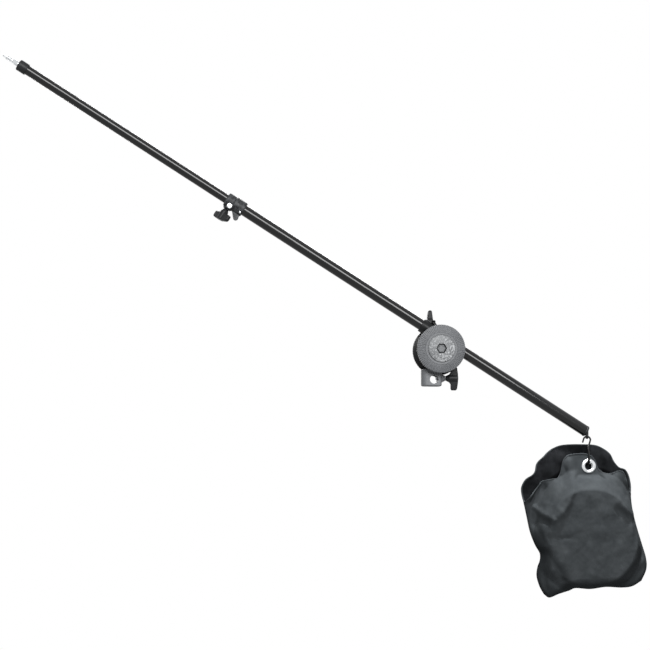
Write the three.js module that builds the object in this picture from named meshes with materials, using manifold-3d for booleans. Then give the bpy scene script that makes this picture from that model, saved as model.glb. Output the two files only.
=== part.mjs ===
import * as THREE from 'three';
import { mergeVertices, toCreasedNormals } from 'three/addons/utils/BufferGeometryUtils.js';
import Module from 'manifold-3d';

// Overhead boom arm for a lighting stand, in millimetres, +Z up, +X towards the weight bag.
// The origin is the centre of the stand socket's mouth. The boom's tubes lie in the plane Y = 0.

const wasm = await Module();
wasm.setup();

// Clearances and overruns shared by all pieces
const fitGap = 0.3;
const overrun = 2;
const weldTolerance = 0.0001;
const creaseAngle = THREE.MathUtils.degToRad(28);

// Numbers of facets round each kind of piece
const discFacets = 72;
const tubeFacets = 32;
const castFacets = 32;
const smallFacets = 20;
const wireFacets = 8;

// Where the tilting joint stands over the socket, and how the boom leans in it
const pivotSide = 11.9;
const pivotHeight = 72.8;
const boomTilt = THREE.MathUtils.degToRad(32.45);
const tubeOffset = 23.3;

// Front disc: cast in one with the receiver
const discRadius = 48;
const discThickness = 14;
const discBackDepth = 21;
const discChamfer = 1.2;
const discPocketRadius = 27.6;
const discPocketDepth = 1.4;
const discGrooveWidth = 2.2;
const discGrooveDepth = 2.6;
const discBackPocketRadius = 33;
const ribCount = 54;
const ribGrooveWidth = 2.2;
const ribGrooveDepth = 1;
const ribInnerRadius = 31.5;

// Receiver block under the disc
const blockLeft = 24;
const blockRight = 15.7;
const blockHalfDepth = 14;
const blockHeight = 34.4;
const blockLeftCorner = 11;
const blockRightCorner = 5;
const blockEdgeChamfer = 1.5;
const neckInset = 3;
const neckSideStep = 2;
const neckRise = 8.1;
const neckLap = 2;
const socketRadius = 8.15;
const socketDepth = 27;
const crossBoreRadius = 8.5;
const crossBoreHeight = 13;
const socketLeadIn = 1;
const screwBossRadius = 9.5;
const screwBossTipRadius = 4.6;
const screwBossEnd = 24.4;
const standScrewHeight = 16;
const standScrewRadius = 3.2;
const standScrewBite = 4.7;

// Face plate and pivot bolt
const plateRadius = 27;
const plateThickness = 3.4;
const plateEdgeBevel = 0.9;
const hexHeadCorner = 9.8;
const hexHeadThickness = 6.2;
const hexHeadProud = 0.4;
const hexPocketGap = 0.9;
const boltRadius = 5;
const boltHeadBevel = 0.7;

// Friction washers on both sides of the tilting clamp
const frictionInner = 9;
const frictionOuter = 31.5;
const frictionThickness = 1.4;

// Rear disc, black, which the tilt knob pulls against the clamp
const rearDiscRadius = 49.7;
const rearDiscThickness = 6.5;
const rearDiscChamfer = 1.4;
const rearDiscPocketRadius = 30;
const rearDiscPocketDepth = 2;
const rearRibCount = 30;
const rearRibInnerRadius = 34;
const rearRibGrooveWidth = 2.4;
const rearWasherRadius = 13;
const rearWasherThickness = 2.2;

// Tilting clamp: two flanges on a waist, and a split sleeve for the outer tube
const hubFlangeRadius = 33;
const hubFlangeThickness = 4.5;
const hubWaistRadius = 22;
const hubFillet = 3;
const sleeveRadius = 14;
const sleeveFront = 57;
const sleeveRear = 30;
const sleeveLeadIn = 1.2;
const sleeveSlotWidth = 2.2;
const sleeveSlotEnd = 13;
const sleeveReliefRadius = 2.6;
const clampScrewAlong = 38.3;
const clampScrewHeight = 39.5;
const earRadius = 5.6;
const earHalfDepth = 6.5;
const earRootHalf = 14.5;
const clampSeatDepth = 28.6;
const clampBossRadius = 4.5;
const clampScrewRadius = 2.5;
const clampNutCorner = 4.2;
const clampNutThickness = 3.4;
const clampWasherRadius = 5.2;
const clampWasherThickness = 1.2;

// T-knobs: one moulding serves all four screws, longer and thicker in its wings on the clamp
const knobLength = 25;
const knobSpan = 48;
const knobWingThickness = 9.4;
const clampKnobSpan = 60;
const clampKnobWingThickness = 11.4;
const knobHubRadius = 8;
const knobSeatRadius = 4.6;
const knobEdge = 1.1;
const knobBlindDepth = 17;
const knobInsertRadius = 5;
const knobInsertLength = 12;
const knobOutlineShares = [
  [0.29, 0.28], [0.5, 0.42], [0.9, 0.42], [1, 0.5], [1, 0.82], [0.88, 0.93], [0.36, 1],
];

// Rest turn of each knob about its screw; the clamp's stands upright
const standKnobTurn = THREE.MathUtils.degToRad(4);
const clampKnobTurn = Math.PI / 2 - boomTilt;
const collarKnobTurn = THREE.MathUtils.degToRad(52);
const tiltKnobTurn = THREE.MathUtils.degToRad(35);

// Tubes of the two-section boom, measured along the boom from the pivot's foot. The collar's knob
// tells where the outer tube ends, and the collar's other features keep their reach from it.
const collarKnobAlong = 508.4;
const tubeEndReach = 5.4;
const outerTubeRadius = 11;
const outerTubeWall = 1.2;
const outerTubeRear = 334.5;
const innerTubeRadius = 9.5;
const innerTubeWall = 1.2;
const innerTubeFront = 1005.5;
const innerTubeRear = 355;
const innerBushFlange = 5;
const innerBushPlug = 16;

// Collar that locks the inner tube
const collarFrontReach = 11.1;
const collarStepReach = 6.2;
const collarRearReach = 30.4;
const collarFrontRadius = 14.4;
const collarRearRadius = 15.2;
const collarGrooveWidth = 2.2;
const collarGrooveDepth = 1.2;
const collarEdge = 1.2;
const collarBossRadius = 8.4;
const collarBossDrop = 17.1;
const collarScrewRadius = 3;
const shoeThickness = 2.2;
const sideScrewReach = 1.9;
const sideScrewDrop = 10.8;
const sidePadRadius = 6.2;
const sidePadDepth = 13.3;
const sidePadInner = 7;
const sideScrewHeadRadius = 5.3;
const sideScrewHeadHeight = 3.4;
const sideScrewShankRadius = 2;
const sideScrewShankLength = 4;
const sideScrewSocketRadius = 2.3;
const lugHalfThickness = 4.5;
const lugRootRadius = 8.5;
const lugRootReach = 17.4;
const lugRootDrop = 8.6;
const lugTipRadius = 5.2;
const lugTipReach = 24.6;
const lugTipDrop = 21.8;

// Rear cap with the eye that the hook hangs in
const rearCapRadius = 11.4;
const rearCapEnd = 339.5;
const rearCapPlug = 26;
const rearCapBevel = 2.2;
const eyeAlong = 344.2;
const eyeOffset = 15.6;
const eyePlateThickness = 4.4;
const eyePlateHalfWidth = 5;
const eyeHoleRadius = 3;
const eyeRimWidth = 2.6;
const eyePlateHeight = 16;

// Tip cap and the stud that carries the lamp
const tipCapRadius = 11.4;
const tipCapFront = 1010.4;
const tipCapRear = 990;
const tipCapBevel = 1.6;
const studPlugLength = 20;
const studBaseRadius = 5;
const studBaseLength = 13.2;
const studWaistRadius = 3.4;
const studWaistLength = 2.6;
const studThreadRadius = 4.76;
const studThreadLength = 12;
const studTipRadius = 3.18;
const studTipLength = 7.8;
const studBevel = 0.6;

// Wire hook between the eye and the bag's grommets
const wireRadius = 1.7;
const hookLoopRadius = 7;
const hookLoopArc = THREE.MathUtils.degToRad(72);
const hookTailLength = 6.5;
const hookBendRadius = 11;
const hookBendDrop = 49.4;
const hookShankSide = 1.8;
const hookNeckDrop = 13.5;
const hookTipRise = 3;
const hookSteps = 48;

// Weight bag: an open pouch that hangs from its two grommets, and the ballast in it
const grommetRadius = 14.5;
const grommetHoleRadius = 7.6;
const grommetBarrelRadius = 8.8;
const grommetFlange = 1;
const grommetSeatRise = 4.8;
const panelThickness = 2.4;
const panelDepth = 4.5;
const frontFlatDrop = 22.5;
const backFlatDrop = 34;
const flatHalfWidth = 25;
const bagSideHeight = 170;
const bagHeight = 230;
const bagWidth = 255;
const bagHookShare = 0.518;
const bagDepth = 48;
const bagBackRise = 57;
const bagFrontRise = 31.5;
const bagFrontSag = 12;
const bagCornerDroop = 19;
const bagSeamHalf = 2.8;
const bagPointsRound = 36;
const bagRows = 13;
const bagRowPower = 1.3;
const ballastClearance = 1;
const ballastFacets = 24;

// Bag outline from rim to bottom seam: how far down, where its left and right edges are across
// the bag's width, and how deep its front and back are against the deepest place.
const bagSectionShares = [
  { down: 0.00, left: 0.09, right: 0.84, front: 0.20, back: 0.46 },
  { down: 0.06, left: 0.03, right: 0.88, front: 0.35, back: 0.50 },
  { down: 0.15, left: 0.00, right: 0.89, front: 0.68, back: 0.60 },
  { down: 0.28, left: 0.01, right: 0.90, front: 0.93, back: 0.74 },
  { down: 0.42, left: 0.03, right: 0.93, front: 0.98, back: 0.84 },
  { down: 0.56, left: 0.08, right: 0.96, front: 1.00, back: 0.88 },
  { down: 0.70, left: 0.14, right: 0.98, front: 0.98, back: 0.86 },
  { down: 0.80, left: 0.12, right: 1.00, front: 0.92, back: 0.78 },
  { down: 0.89, left: 0.10, right: 0.98, front: 0.74, back: 0.58 },
  { down: 0.96, left: 0.12, right: 0.93, front: 0.40, back: 0.30 },
  { down: 1.00, left: 0.15, right: 0.88, front: 0.06, back: 0.06 },
];
const ballastLeftShare = 0.31;
const ballastRightShare = 0.80;
const ballastTopShare = 0.27;
const ballastBottomShare = 0.93;
const bellyFlatShare = 0.45;
const ballastEndShare = 0.08;
const bagEdgeShare = 0.3;
const bagRimDrop = 62.5;
const bagRimFadeShare = 0.42;
const rimArchPower = 0.55;
const bagBackLean = 10;
const bagPinchSpread = 34;
const bagPinchFade = 34;
const bagDroopAcross = 0.72;
const bagDroopSpread = 0.26;
const ballastSteps = 7;

const ballastEnds = [ballastLeftShare, ballastRightShare]
  .map((share) => (share - bagHookShare) * bagWidth);
const outerTubeFront = collarKnobAlong - tubeEndReach;
const collarFront = collarKnobAlong + collarFrontReach;
const collarStep = collarKnobAlong - collarStepReach;
const collarRear = collarKnobAlong - collarRearReach;
const sideScrewAlong = collarKnobAlong - sideScrewReach;
const lugRootAlong = collarKnobAlong - lugRootReach;
const lugTipAlong = collarKnobAlong - lugTipReach;
const discFrontFace = -(discBackDepth + discThickness);
const hubHalfDepth = discBackDepth - frictionThickness - 2 * fitGap;
const rearDiscBackFace = discBackDepth + rearDiscThickness;

const finishes = {
  greyCast: { color: 0x76787b, metalness: 0.6, roughness: 0.55 },
  paleCast: { color: 0x9a9b9d, metalness: 0.7, roughness: 0.45 },
  steel: { color: 0x77797c, metalness: 0.9, roughness: 0.35 },
  fibre: { color: 0x5a3f2a, metalness: 0, roughness: 0.9 },
  blackCast: { color: 0x1a1b1c, metalness: 0.3, roughness: 0.4 },
  blackTube: { color: 0x111213, metalness: 0.4, roughness: 0.25 },
  blackPlastic: { color: 0x242526, metalness: 0, roughness: 0.5 },
  zinc: { color: 0xb9bcc0, metalness: 0.95, roughness: 0.25 },
  chrome: { color: 0xd8dadc, metalness: 1, roughness: 0.12 },
  collarCast: { color: 0x3a3c3e, metalness: 0.4, roughness: 0.5 },
  blackWire: { color: 0x191919, metalness: 0.6, roughness: 0.4 },
  nylon: { color: 0x3c3f40, metalness: 0, roughness: 0.8 },
  ballastCover: { color: 0x2c2d2e, metalness: 0, roughness: 0.9 },
};

const boomArm = new THREE.Group();
const head = new THREE.Group();
const boom = new THREE.Group();
boom.position.set(pivotSide, 0, pivotHeight);
boom.rotation.y = boomTilt;
boomArm.add(head, boom);

// Solids and meshes

function toSolid(geometry) {
  const bare = geometry.clone();
  bare.deleteAttribute('normal');
  bare.deleteAttribute('uv');
  const merged = mergeVertices(bare, weldTolerance);
  const corners = merged.index.array;
  const triangles = [];
  for (let i = 0; i < corners.length; i += 3) {
    const [a, b, c] = [corners[i], corners[i + 1], corners[i + 2]];
    if (a !== b && b !== c && c !== a) triangles.push(a, b, c);
  }
  return new wasm.Manifold(new wasm.Mesh({
    numProp: 3,
    vertProperties: new Float32Array(merged.attributes.position.array),
    triVerts: new Uint32Array(triangles),
  }));
}

function toGeometry(solid) {
  const { vertProperties, triVerts } = solid.getMesh();
  const geometry = new THREE.BufferGeometry();
  geometry.setAttribute('position', new THREE.BufferAttribute(vertProperties, 3));
  geometry.setIndex(new THREE.BufferAttribute(triVerts, 1));
  return toCreasedNormals(geometry, creaseAngle);
}

function addPiece(group, name, finish, solid) {
  const mesh = new THREE.Mesh(toGeometry(solid), new THREE.MeshStandardMaterial(finishes[finish]));
  mesh.name = name;
  group.add(mesh);
}

function joined(first, ...others) {
  return others.reduce((whole, solid) => whole.add(solid), first);
}

function cut(first, ...others) {
  return others.reduce((rest, solid) => rest.subtract(solid), first);
}

// Directions that a revolved or extruded piece can run in, from its own +Y or +Z

const alongX = (geometry) => geometry.rotateZ(-Math.PI / 2);
const alongY = (geometry) => geometry;
const alongZ = (geometry) => geometry.rotateX(Math.PI / 2);
const downZ = (geometry) => geometry.rotateX(-Math.PI / 2);

// A turned solid: profile points are [radius, place along the axis], going up the outside.
// A profile that doesn't start on the axis is a ring, and closes on itself.
function turned(profile, direction, place = [0, 0, 0], facets = castFacets) {
  const outline = profile.map(([radius, height]) => new THREE.Vector2(radius, height));
  outline.push(outline[0].clone());
  return toSolid(direction(new THREE.LatheGeometry(outline, facets)).translate(...place));
}

function rod(radius, from, to, direction, place, facets = castFacets) {
  return turned([[0, from], [radius, from], [radius, to], [0, to]], direction, place, facets);
}

function ring(inner, outer, from, to, direction, place, facets = castFacets) {
  return turned([[inner, from], [outer, from], [outer, to], [inner, to]], direction, place, facets);
}

function beveledRod(radius, bevel, from, to, direction, place, facets = castFacets) {
  const profile = [
    [0, from], [radius - bevel, from], [radius, from + bevel],
    [radius, to - bevel], [radius - bevel, to], [0, to],
  ];
  return turned(profile, direction, place, facets);
}

// A prism on a flat outline in X and Z, running in Y
function plate(shape, from, to, place = [0, 0, 0]) {
  const geometry = new THREE.ExtrudeGeometry(shape, { depth: to - from, bevelEnabled: false });
  geometry.translate(0, 0, -to).rotateX(Math.PI / 2);
  return toSolid(geometry.translate(...place));
}

// A prism on a flat outline in X and Y, running up Z
function column(shape, from, to, place = [0, 0, 0]) {
  const geometry = new THREE.ExtrudeGeometry(shape, { depth: to - from, bevelEnabled: false });
  return toSolid(geometry.translate(0, 0, from).translate(...place));
}

function box(width, depth, height, place) {
  return toSolid(new THREE.BoxGeometry(width, depth, height).translate(...place));
}

function hexagon(corner) {
  const shape = new THREE.Shape();
  for (let i = 0; i < 6; i += 1) {
    const angle = (i * Math.PI) / 3;
    const point = [corner * Math.cos(angle), corner * Math.sin(angle)];
    if (i === 0) shape.moveTo(...point);
    else shape.lineTo(...point);
  }
  shape.closePath();
  return shape;
}

// Radial grooves that leave ribs on a disc's face, all cut at once
function ribGrooves(count, inner, outer, width, depth, face, towards) {
  const above = 1 + overrun / depth;
  const section = new THREE.Shape([
    new THREE.Vector2((-width / 2) * above, towards * overrun),
    new THREE.Vector2((width / 2) * above, towards * overrun),
    new THREE.Vector2(0, -towards * depth),
  ]);
  const grooves = [];
  for (let i = 0; i < count; i += 1) {
    const length = outer + overrun - inner;
    const geometry = new THREE.ExtrudeGeometry(section, { depth: length, bevelEnabled: false });
    geometry.translate(0, face, inner).rotateY(((i + 0.5) * 2 * Math.PI) / count);
    grooves.push(toSolid(geometry));
  }
  return joined(...grooves);
}

// Head: receiver with the front disc, and what the pivot bolt carries

function receiverBlock() {
  const shape = new THREE.Shape();
  shape.moveTo(0, -blockHalfDepth);
  shape.lineTo(blockRight - blockRightCorner, -blockHalfDepth);
  shape.absarc(blockRight - blockRightCorner, blockRightCorner - blockHalfDepth,
    blockRightCorner, -Math.PI / 2, 0);
  shape.absarc(blockRight - blockRightCorner, blockHalfDepth - blockRightCorner,
    blockRightCorner, 0, Math.PI / 2);
  shape.absarc(blockLeftCorner - blockLeft, blockHalfDepth - blockLeftCorner,
    blockLeftCorner, Math.PI / 2, Math.PI);
  shape.absarc(blockLeftCorner - blockLeft, blockLeftCorner - blockHalfDepth,
    blockLeftCorner, Math.PI, 1.5 * Math.PI);
  shape.closePath();
  const height = blockHeight - 2 * blockEdgeChamfer;
  const geometry = new THREE.ExtrudeGeometry(shape, {
    depth: height,
    curveSegments: 8,
    bevelThickness: blockEdgeChamfer,
    bevelSize: blockEdgeChamfer,
    bevelOffset: -blockEdgeChamfer,
    bevelSegments: 1,
  });
  return toSolid(geometry.translate(0, 0, blockEdgeChamfer));
}

// Neck behind the front disc's lower edge, which carries the disc on the block's front. It follows
// the disc's outline, and a web takes it up where the disc stands clear of the block.
function neck(atPivot) {
  const front = -discBackDepth - neckInset;
  const back = -blockHalfDepth + neckInset;
  const radius = discRadius - discChamfer;
  const segment = rod(radius, front, back, alongY, atPivot, discFacets);
  const top = pivotHeight - discRadius + neckRise;
  const room = box(blockLeft + blockRight - 2 * neckSideStep, back - front, top,
    [(blockRight - blockLeft) / 2, (front + back) / 2, top / 2]);
  const chordHalf = Math.sqrt(radius ** 2 - (discRadius - neckRise) ** 2);
  const left = Math.max(pivotSide - chordHalf, neckSideStep - blockLeft);
  const right = Math.min(pivotSide + chordHalf, blockRight - neckSideStep);
  const webBottom = Math.min(blockHeight - blockEdgeChamfer, top) - neckLap;
  const web = box(right - left, back - front, top - webBottom,
    [(left + right) / 2, (front + back) / 2, (top + webBottom) / 2]);
  return joined(segment.intersect(room), web);
}

function headCasting() {
  const atPivot = [pivotSide, 0, pivotHeight];
  const pocketFloor = discFrontFace + discPocketDepth;
  const grooveOuter = discPocketRadius + discGrooveWidth;
  const disc = turned([
    [0, pocketFloor],
    [discPocketRadius, pocketFloor],
    [discPocketRadius, discFrontFace + discGrooveDepth],
    [grooveOuter, discFrontFace + discGrooveDepth],
    [grooveOuter, discFrontFace],
    [discRadius - discChamfer, discFrontFace],
    [discRadius, discFrontFace + discChamfer],
    [discRadius, -discBackDepth - discChamfer],
    [discRadius - discChamfer, -discBackDepth],
    [0, -discBackDepth],
  ], alongY, [0, 0, 0], discFacets);
  const grooves = ribGrooves(ribCount, ribInnerRadius, discRadius, ribGrooveWidth,
    ribGrooveDepth, discFrontFace, -1);
  const ribbed = cut(disc, grooves).translate(atPivot);
  const bossProfile = [
    [0, blockRight - blockRightCorner],
    [screwBossRadius, blockRight - blockRightCorner],
    [screwBossRadius, blockRight],
    [screwBossTipRadius, screwBossEnd],
    [0, screwBossEnd],
  ];
  const screwBoss = turned(bossProfile, alongX, [0, 0, standScrewHeight], castFacets);
  const headPocket = plate(hexagon(hexHeadCorner + hexPocketGap), discFrontFace - overrun,
    discFrontFace - hexHeadProud + hexHeadThickness + fitGap, atPivot);
  const boltHole = rod(boltRadius + fitGap, discFrontFace, overrun, alongY, atPivot);
  const leadInRadius = socketRadius + socketLeadIn;
  const socket = turned([
    [0, -overrun], [leadInRadius, -overrun], [leadInRadius, 0], [socketRadius, socketLeadIn],
    [socketRadius, socketDepth], [0, socketDepth],
  ], alongZ, [0, 0, 0], tubeFacets);
  const crossBore = rod(crossBoreRadius, -blockHalfDepth - overrun,
    blockHalfDepth + overrun, alongY, [0, 0, crossBoreHeight], tubeFacets);
  const screwHole = rod(standScrewRadius + fitGap, 0, screwBossEnd + overrun, alongX,
    [0, 0, standScrewHeight], smallFacets);
  return cut(joined(ribbed, receiverBlock(), neck(atPivot), screwBoss),
    headPocket, boltHole, socket, crossBore, screwHole);
}

function addHead() {
  const atPivot = [pivotSide, 0, pivotHeight];
  addPiece(head, 'head_casting', 'greyCast', headCasting());

  const plateBack = discFrontFace + discPocketDepth - fitGap;
  const plateFront = plateBack - plateThickness;
  const facePlate = cut(
    turned([
      [0, plateFront], [plateRadius - plateEdgeBevel, plateFront],
      [plateRadius, plateFront + plateEdgeBevel], [plateRadius, plateBack], [0, plateBack],
    ], alongY, atPivot, discFacets),
    plate(hexagon(hexHeadCorner + hexPocketGap), plateFront - overrun, plateBack + overrun, atPivot),
  );
  addPiece(head, 'disc_face_plate', 'paleCast', facePlate);

  const headFront = discFrontFace - hexHeadProud;
  const headBack = headFront + hexHeadThickness;
  const rearEnd = rearDiscBackFace + rearWasherThickness + fitGap + knobBlindDepth - overrun;
  const headBlank = turned([
    [0, headFront], [hexHeadCorner - boltHeadBevel, headFront],
    [hexHeadCorner, headFront + boltHeadBevel], [hexHeadCorner, headBack], [0, headBack],
  ], alongY, atPivot, smallFacets);
  const hexHead = headBlank.intersect(
    plate(hexagon(hexHeadCorner), headFront - overrun, headBack + overrun, atPivot));
  const shank = rod(boltRadius, headBack - overrun, rearEnd, alongY, atPivot, smallFacets);
  addPiece(head, 'pivot_bolt', 'steel', joined(hexHead, shank));

  const washerFront = -discBackDepth + fitGap;
  const washerBack = washerFront + frictionThickness;
  addPiece(head, 'front_friction_washer', 'fibre',
    ring(frictionInner, frictionOuter, washerFront, washerBack, alongY, atPivot));
  addPiece(head, 'rear_friction_washer', 'fibre',
    ring(frictionInner, frictionOuter, -washerBack, -washerFront, alongY, atPivot));
  addPiece(head, 'rear_disc', 'blackCast', rearDisc(atPivot));
  addPiece(head, 'rear_washer', 'zinc',
    ring(boltRadius + fitGap, rearWasherRadius, rearDiscBackFace - rearDiscPocketDepth + fitGap,
      rearDiscBackFace - rearDiscPocketDepth + fitGap + rearWasherThickness, alongY, atPivot));
}

function rearDisc(atPivot) {
  const pocketFloor = rearDiscBackFace - rearDiscPocketDepth;
  const disc = turned([
    [boltRadius + fitGap, discBackDepth],
    [rearDiscRadius - rearDiscChamfer, discBackDepth],
    [rearDiscRadius, discBackDepth + rearDiscChamfer],
    [rearDiscRadius, rearDiscBackFace - rearDiscChamfer],
    [rearDiscRadius - rearDiscChamfer, rearDiscBackFace],
    [rearDiscPocketRadius, rearDiscBackFace],
    [rearDiscPocketRadius - rearDiscPocketDepth, pocketFloor],
    [boltRadius + fitGap, pocketFloor],
  ], alongY, [0, 0, 0], discFacets);
  const grooves = ribGrooves(rearRibCount, rearRibInnerRadius, rearDiscRadius,
    rearRibGrooveWidth, ribGrooveDepth, rearDiscBackFace, 1);
  return cut(disc, grooves).translate(atPivot);
}

// T-knob, seated at the origin of its own frame with its length up +Z and its wings along X

function knobBody(span = knobSpan, thickness = knobWingThickness) {
  const shape = new THREE.Shape();
  const outline = knobOutlineShares.map(([side, up]) => [(side * span) / 2, up * knobLength]);
  const [rootSide, rootUp] = outline[0];
  shape.moveTo(-rootSide, rootUp);
  shape.lineTo(rootSide, rootUp);
  outline.slice(1).forEach(([side, up]) => shape.lineTo(side, up));
  [...outline].reverse().slice(0, -1).forEach(([side, up]) => shape.lineTo(-side, up));
  shape.closePath();
  const wings = new THREE.ExtrudeGeometry(shape, {
    depth: thickness - 2 * knobEdge,
    bevelThickness: knobEdge,
    bevelSize: knobEdge,
    bevelOffset: -knobEdge,
    bevelSegments: 1,
  });
  wings.translate(0, 0, knobEdge - thickness / 2).rotateX(Math.PI / 2);
  const hub = turned([
    [0, 0], [knobSeatRadius, 0], [knobHubRadius, rootUp], [knobHubRadius, knobLength - knobEdge],
    [knobHubRadius - knobEdge, knobLength], [0, knobLength],
  ], alongZ, [0, 0, 0], smallFacets);
  return joined(toSolid(wings), hub);
}

// Screw for a knob: a threaded rod that stands out of the seat, and a hexagon moulded in the hub
function knobScrew(radius, reach) {
  const insertTop = knobBlindDepth - fitGap;
  const insertBottom = insertTop - knobInsertLength;
  const shank = beveledRod(radius, radius / 5, -reach, insertTop, alongZ, [0, 0, 0], smallFacets);
  return joined(shank, column(hexagon(knobInsertRadius), insertBottom, insertTop));
}

function screwPocket(radius) {
  const top = knobBlindDepth;
  const bottom = top - fitGap - knobInsertLength - fitGap;
  return joined(
    rod(radius + fitGap, -overrun, top, alongZ, [0, 0, 0], smallFacets),
    column(hexagon(knobInsertRadius + fitGap), bottom, top),
  );
}

function addKnob(parent, names, radius, reach, place, aim, turn, body = knobBody()) {
  const frame = new THREE.Group();
  frame.position.set(...place);
  frame.quaternion.setFromUnitVectors(new THREE.Vector3(0, 0, 1), new THREE.Vector3(...aim));
  const turning = new THREE.Group();
  turning.rotation.z = turn;
  frame.add(turning);
  parent.add(frame);
  addPiece(turning, names.knob, 'blackPlastic', cut(body, screwPocket(radius)));
  addPiece(turning, names.screw, 'zinc', knobScrew(radius, reach));
}

function addTiltKnob() {
  const seat = rearDiscBackFace - rearDiscPocketDepth + rearWasherThickness + 2 * fitGap;
  const frame = new THREE.Group();
  frame.position.set(pivotSide, seat, pivotHeight);
  frame.rotation.x = -Math.PI / 2;
  const turning = new THREE.Group();
  turning.rotation.z = tiltKnobTurn;
  frame.add(turning);
  head.add(frame);
  const nutTop = knobBlindDepth - fitGap;
  const nutBottom = nutTop - knobInsertLength;
  const boltRoom = rod(boltRadius + fitGap, -overrun, nutTop + overrun, alongZ, [0, 0, 0],
    smallFacets);
  const nutCorner = knobHubRadius - knobEdge;
  const nut = cut(column(hexagon(nutCorner), nutBottom, nutTop), boltRoom);
  const pocket = column(hexagon(nutCorner + fitGap), nutBottom - fitGap, knobBlindDepth);
  addPiece(turning, 'tilt_knob', 'blackPlastic', cut(tiltKnobBody(), boltRoom, pocket));
  addPiece(turning, 'tilt_knob_nut', 'zinc', nut);
}

// The tilt knob's hub is wider than the others', for the larger nut
function tiltKnobBody() {
  const hubRadius = knobHubRadius + knobEdge + 2 * fitGap;
  return joined(knobBody(), turned([
    [0, 0], [knobHubRadius, 0], [hubRadius, knobEdge], [hubRadius, knobLength - knobEdge],
    [knobHubRadius, knobLength], [0, knobLength],
  ], alongZ, [0, 0, 0], smallFacets));
}

function addStandKnob() {
  const seat = screwBossEnd + fitGap;
  addKnob(head, { knob: 'stand_knob', screw: 'stand_knob_screw' }, standScrewRadius,
    seat - standScrewBite, [seat, 0, standScrewHeight], [1, 0, 0], standKnobTurn);
}

// Tilting clamp, in the boom's frame: X along the boom, Z square to it

function earShape() {
  const shape = new THREE.Shape();
  const root = tubeOffset + sleeveRadius / 2;
  shape.moveTo(-clampScrewAlong - earRootHalf, root);
  shape.lineTo(-clampScrewAlong + earRootHalf, root);
  shape.lineTo(-clampScrewAlong + earRootHalf, tubeOffset + sleeveRadius - sleeveLeadIn);
  shape.absarc(-clampScrewAlong, clampScrewHeight, earRadius, Math.PI / 6, Math.PI * 5 / 6);
  shape.lineTo(-clampScrewAlong - earRootHalf, tubeOffset + sleeveRadius - sleeveLeadIn);
  shape.closePath();
  return shape;
}

function clampCasting() {
  const inner = hubHalfDepth - hubFlangeThickness;
  const hub = turned([
    [0, -hubHalfDepth],
    [hubFlangeRadius - sleeveLeadIn, -hubHalfDepth],
    [hubFlangeRadius, -hubHalfDepth + sleeveLeadIn],
    [hubFlangeRadius, -inner],
    [hubWaistRadius + hubFillet, -inner],
    [hubWaistRadius, -inner + hubFillet],
    [hubWaistRadius, inner - hubFillet],
    [hubWaistRadius + hubFillet, inner],
    [hubFlangeRadius, inner],
    [hubFlangeRadius, hubHalfDepth - sleeveLeadIn],
    [hubFlangeRadius - sleeveLeadIn, hubHalfDepth],
    [0, hubHalfDepth],
  ], alongY, [0, 0, 0], tubeFacets);
  const sleeve = beveledRod(sleeveRadius, sleeveLeadIn, -sleeveFront, sleeveRear, alongX,
    [0, 0, tubeOffset], tubeFacets);
  const ears = plate(earShape(), -earHalfDepth, earHalfDepth);
  const atScrew = [-clampScrewAlong, 0, clampScrewHeight];
  const rearBoss = rod(clampBossRadius, 0, clampSeatDepth - clampWasherThickness - 2 * fitGap,
    alongY, atScrew, smallFacets);
  const slotLength = sleeveFront - sleeveSlotEnd + overrun;
  const slotHeight = clampScrewHeight + earRadius + overrun - tubeOffset;
  const slot = box(slotLength, sleeveSlotWidth, slotHeight,
    [-sleeveSlotEnd - slotLength / 2, 0, tubeOffset + slotHeight / 2]);
  const relief = rod(sleeveReliefRadius, 0, sleeveRadius + overrun, alongZ,
    [-sleeveSlotEnd, 0, tubeOffset], smallFacets);
  const bore = rod(outerTubeRadius + fitGap, -sleeveFront - overrun, sleeveRear + overrun, alongX,
    [0, 0, tubeOffset], tubeFacets);
  const boltHole = rod(boltRadius + fitGap, -hubHalfDepth - overrun, hubHalfDepth + overrun,
    alongY, [0, 0, 0], smallFacets);
  const screwHole = rod(clampScrewRadius + fitGap, -earHalfDepth - overrun,
    clampSeatDepth + overrun, alongY, atScrew, smallFacets);
  const nutPocket = plate(hexagon(clampNutCorner + fitGap), -earHalfDepth - overrun,
    clampNutThickness - earHalfDepth + fitGap, atScrew);
  return cut(joined(hub, sleeve, ears, rearBoss), slot, relief, bore, boltHole, screwHole,
    nutPocket);
}

function addClamp() {
  const atScrew = [-clampScrewAlong, 0, clampScrewHeight];
  addPiece(boom, 'clamp_casting', 'blackCast', clampCasting());
  const nut = cut(
    plate(hexagon(clampNutCorner), -earHalfDepth, clampNutThickness - earHalfDepth, atScrew),
    rod(clampScrewRadius + fitGap, -earHalfDepth - overrun, 0, alongY, atScrew, smallFacets),
  );
  addPiece(boom, 'clamp_nut', 'zinc', nut);
  const washerBack = clampSeatDepth - fitGap;
  addPiece(boom, 'clamp_washer', 'zinc', ring(clampScrewRadius + fitGap, clampWasherRadius,
    washerBack - clampWasherThickness, washerBack, alongY, atScrew, smallFacets));
  addKnob(boom, { knob: 'clamp_knob', screw: 'clamp_knob_screw' }, clampScrewRadius,
    clampSeatDepth + earHalfDepth + fitGap,
    [-clampScrewAlong, clampSeatDepth, clampScrewHeight], [0, 1, 0], clampKnobTurn,
    knobBody(clampKnobSpan, clampKnobWingThickness));
}

// Outer tube with its collar and rear cap

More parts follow.
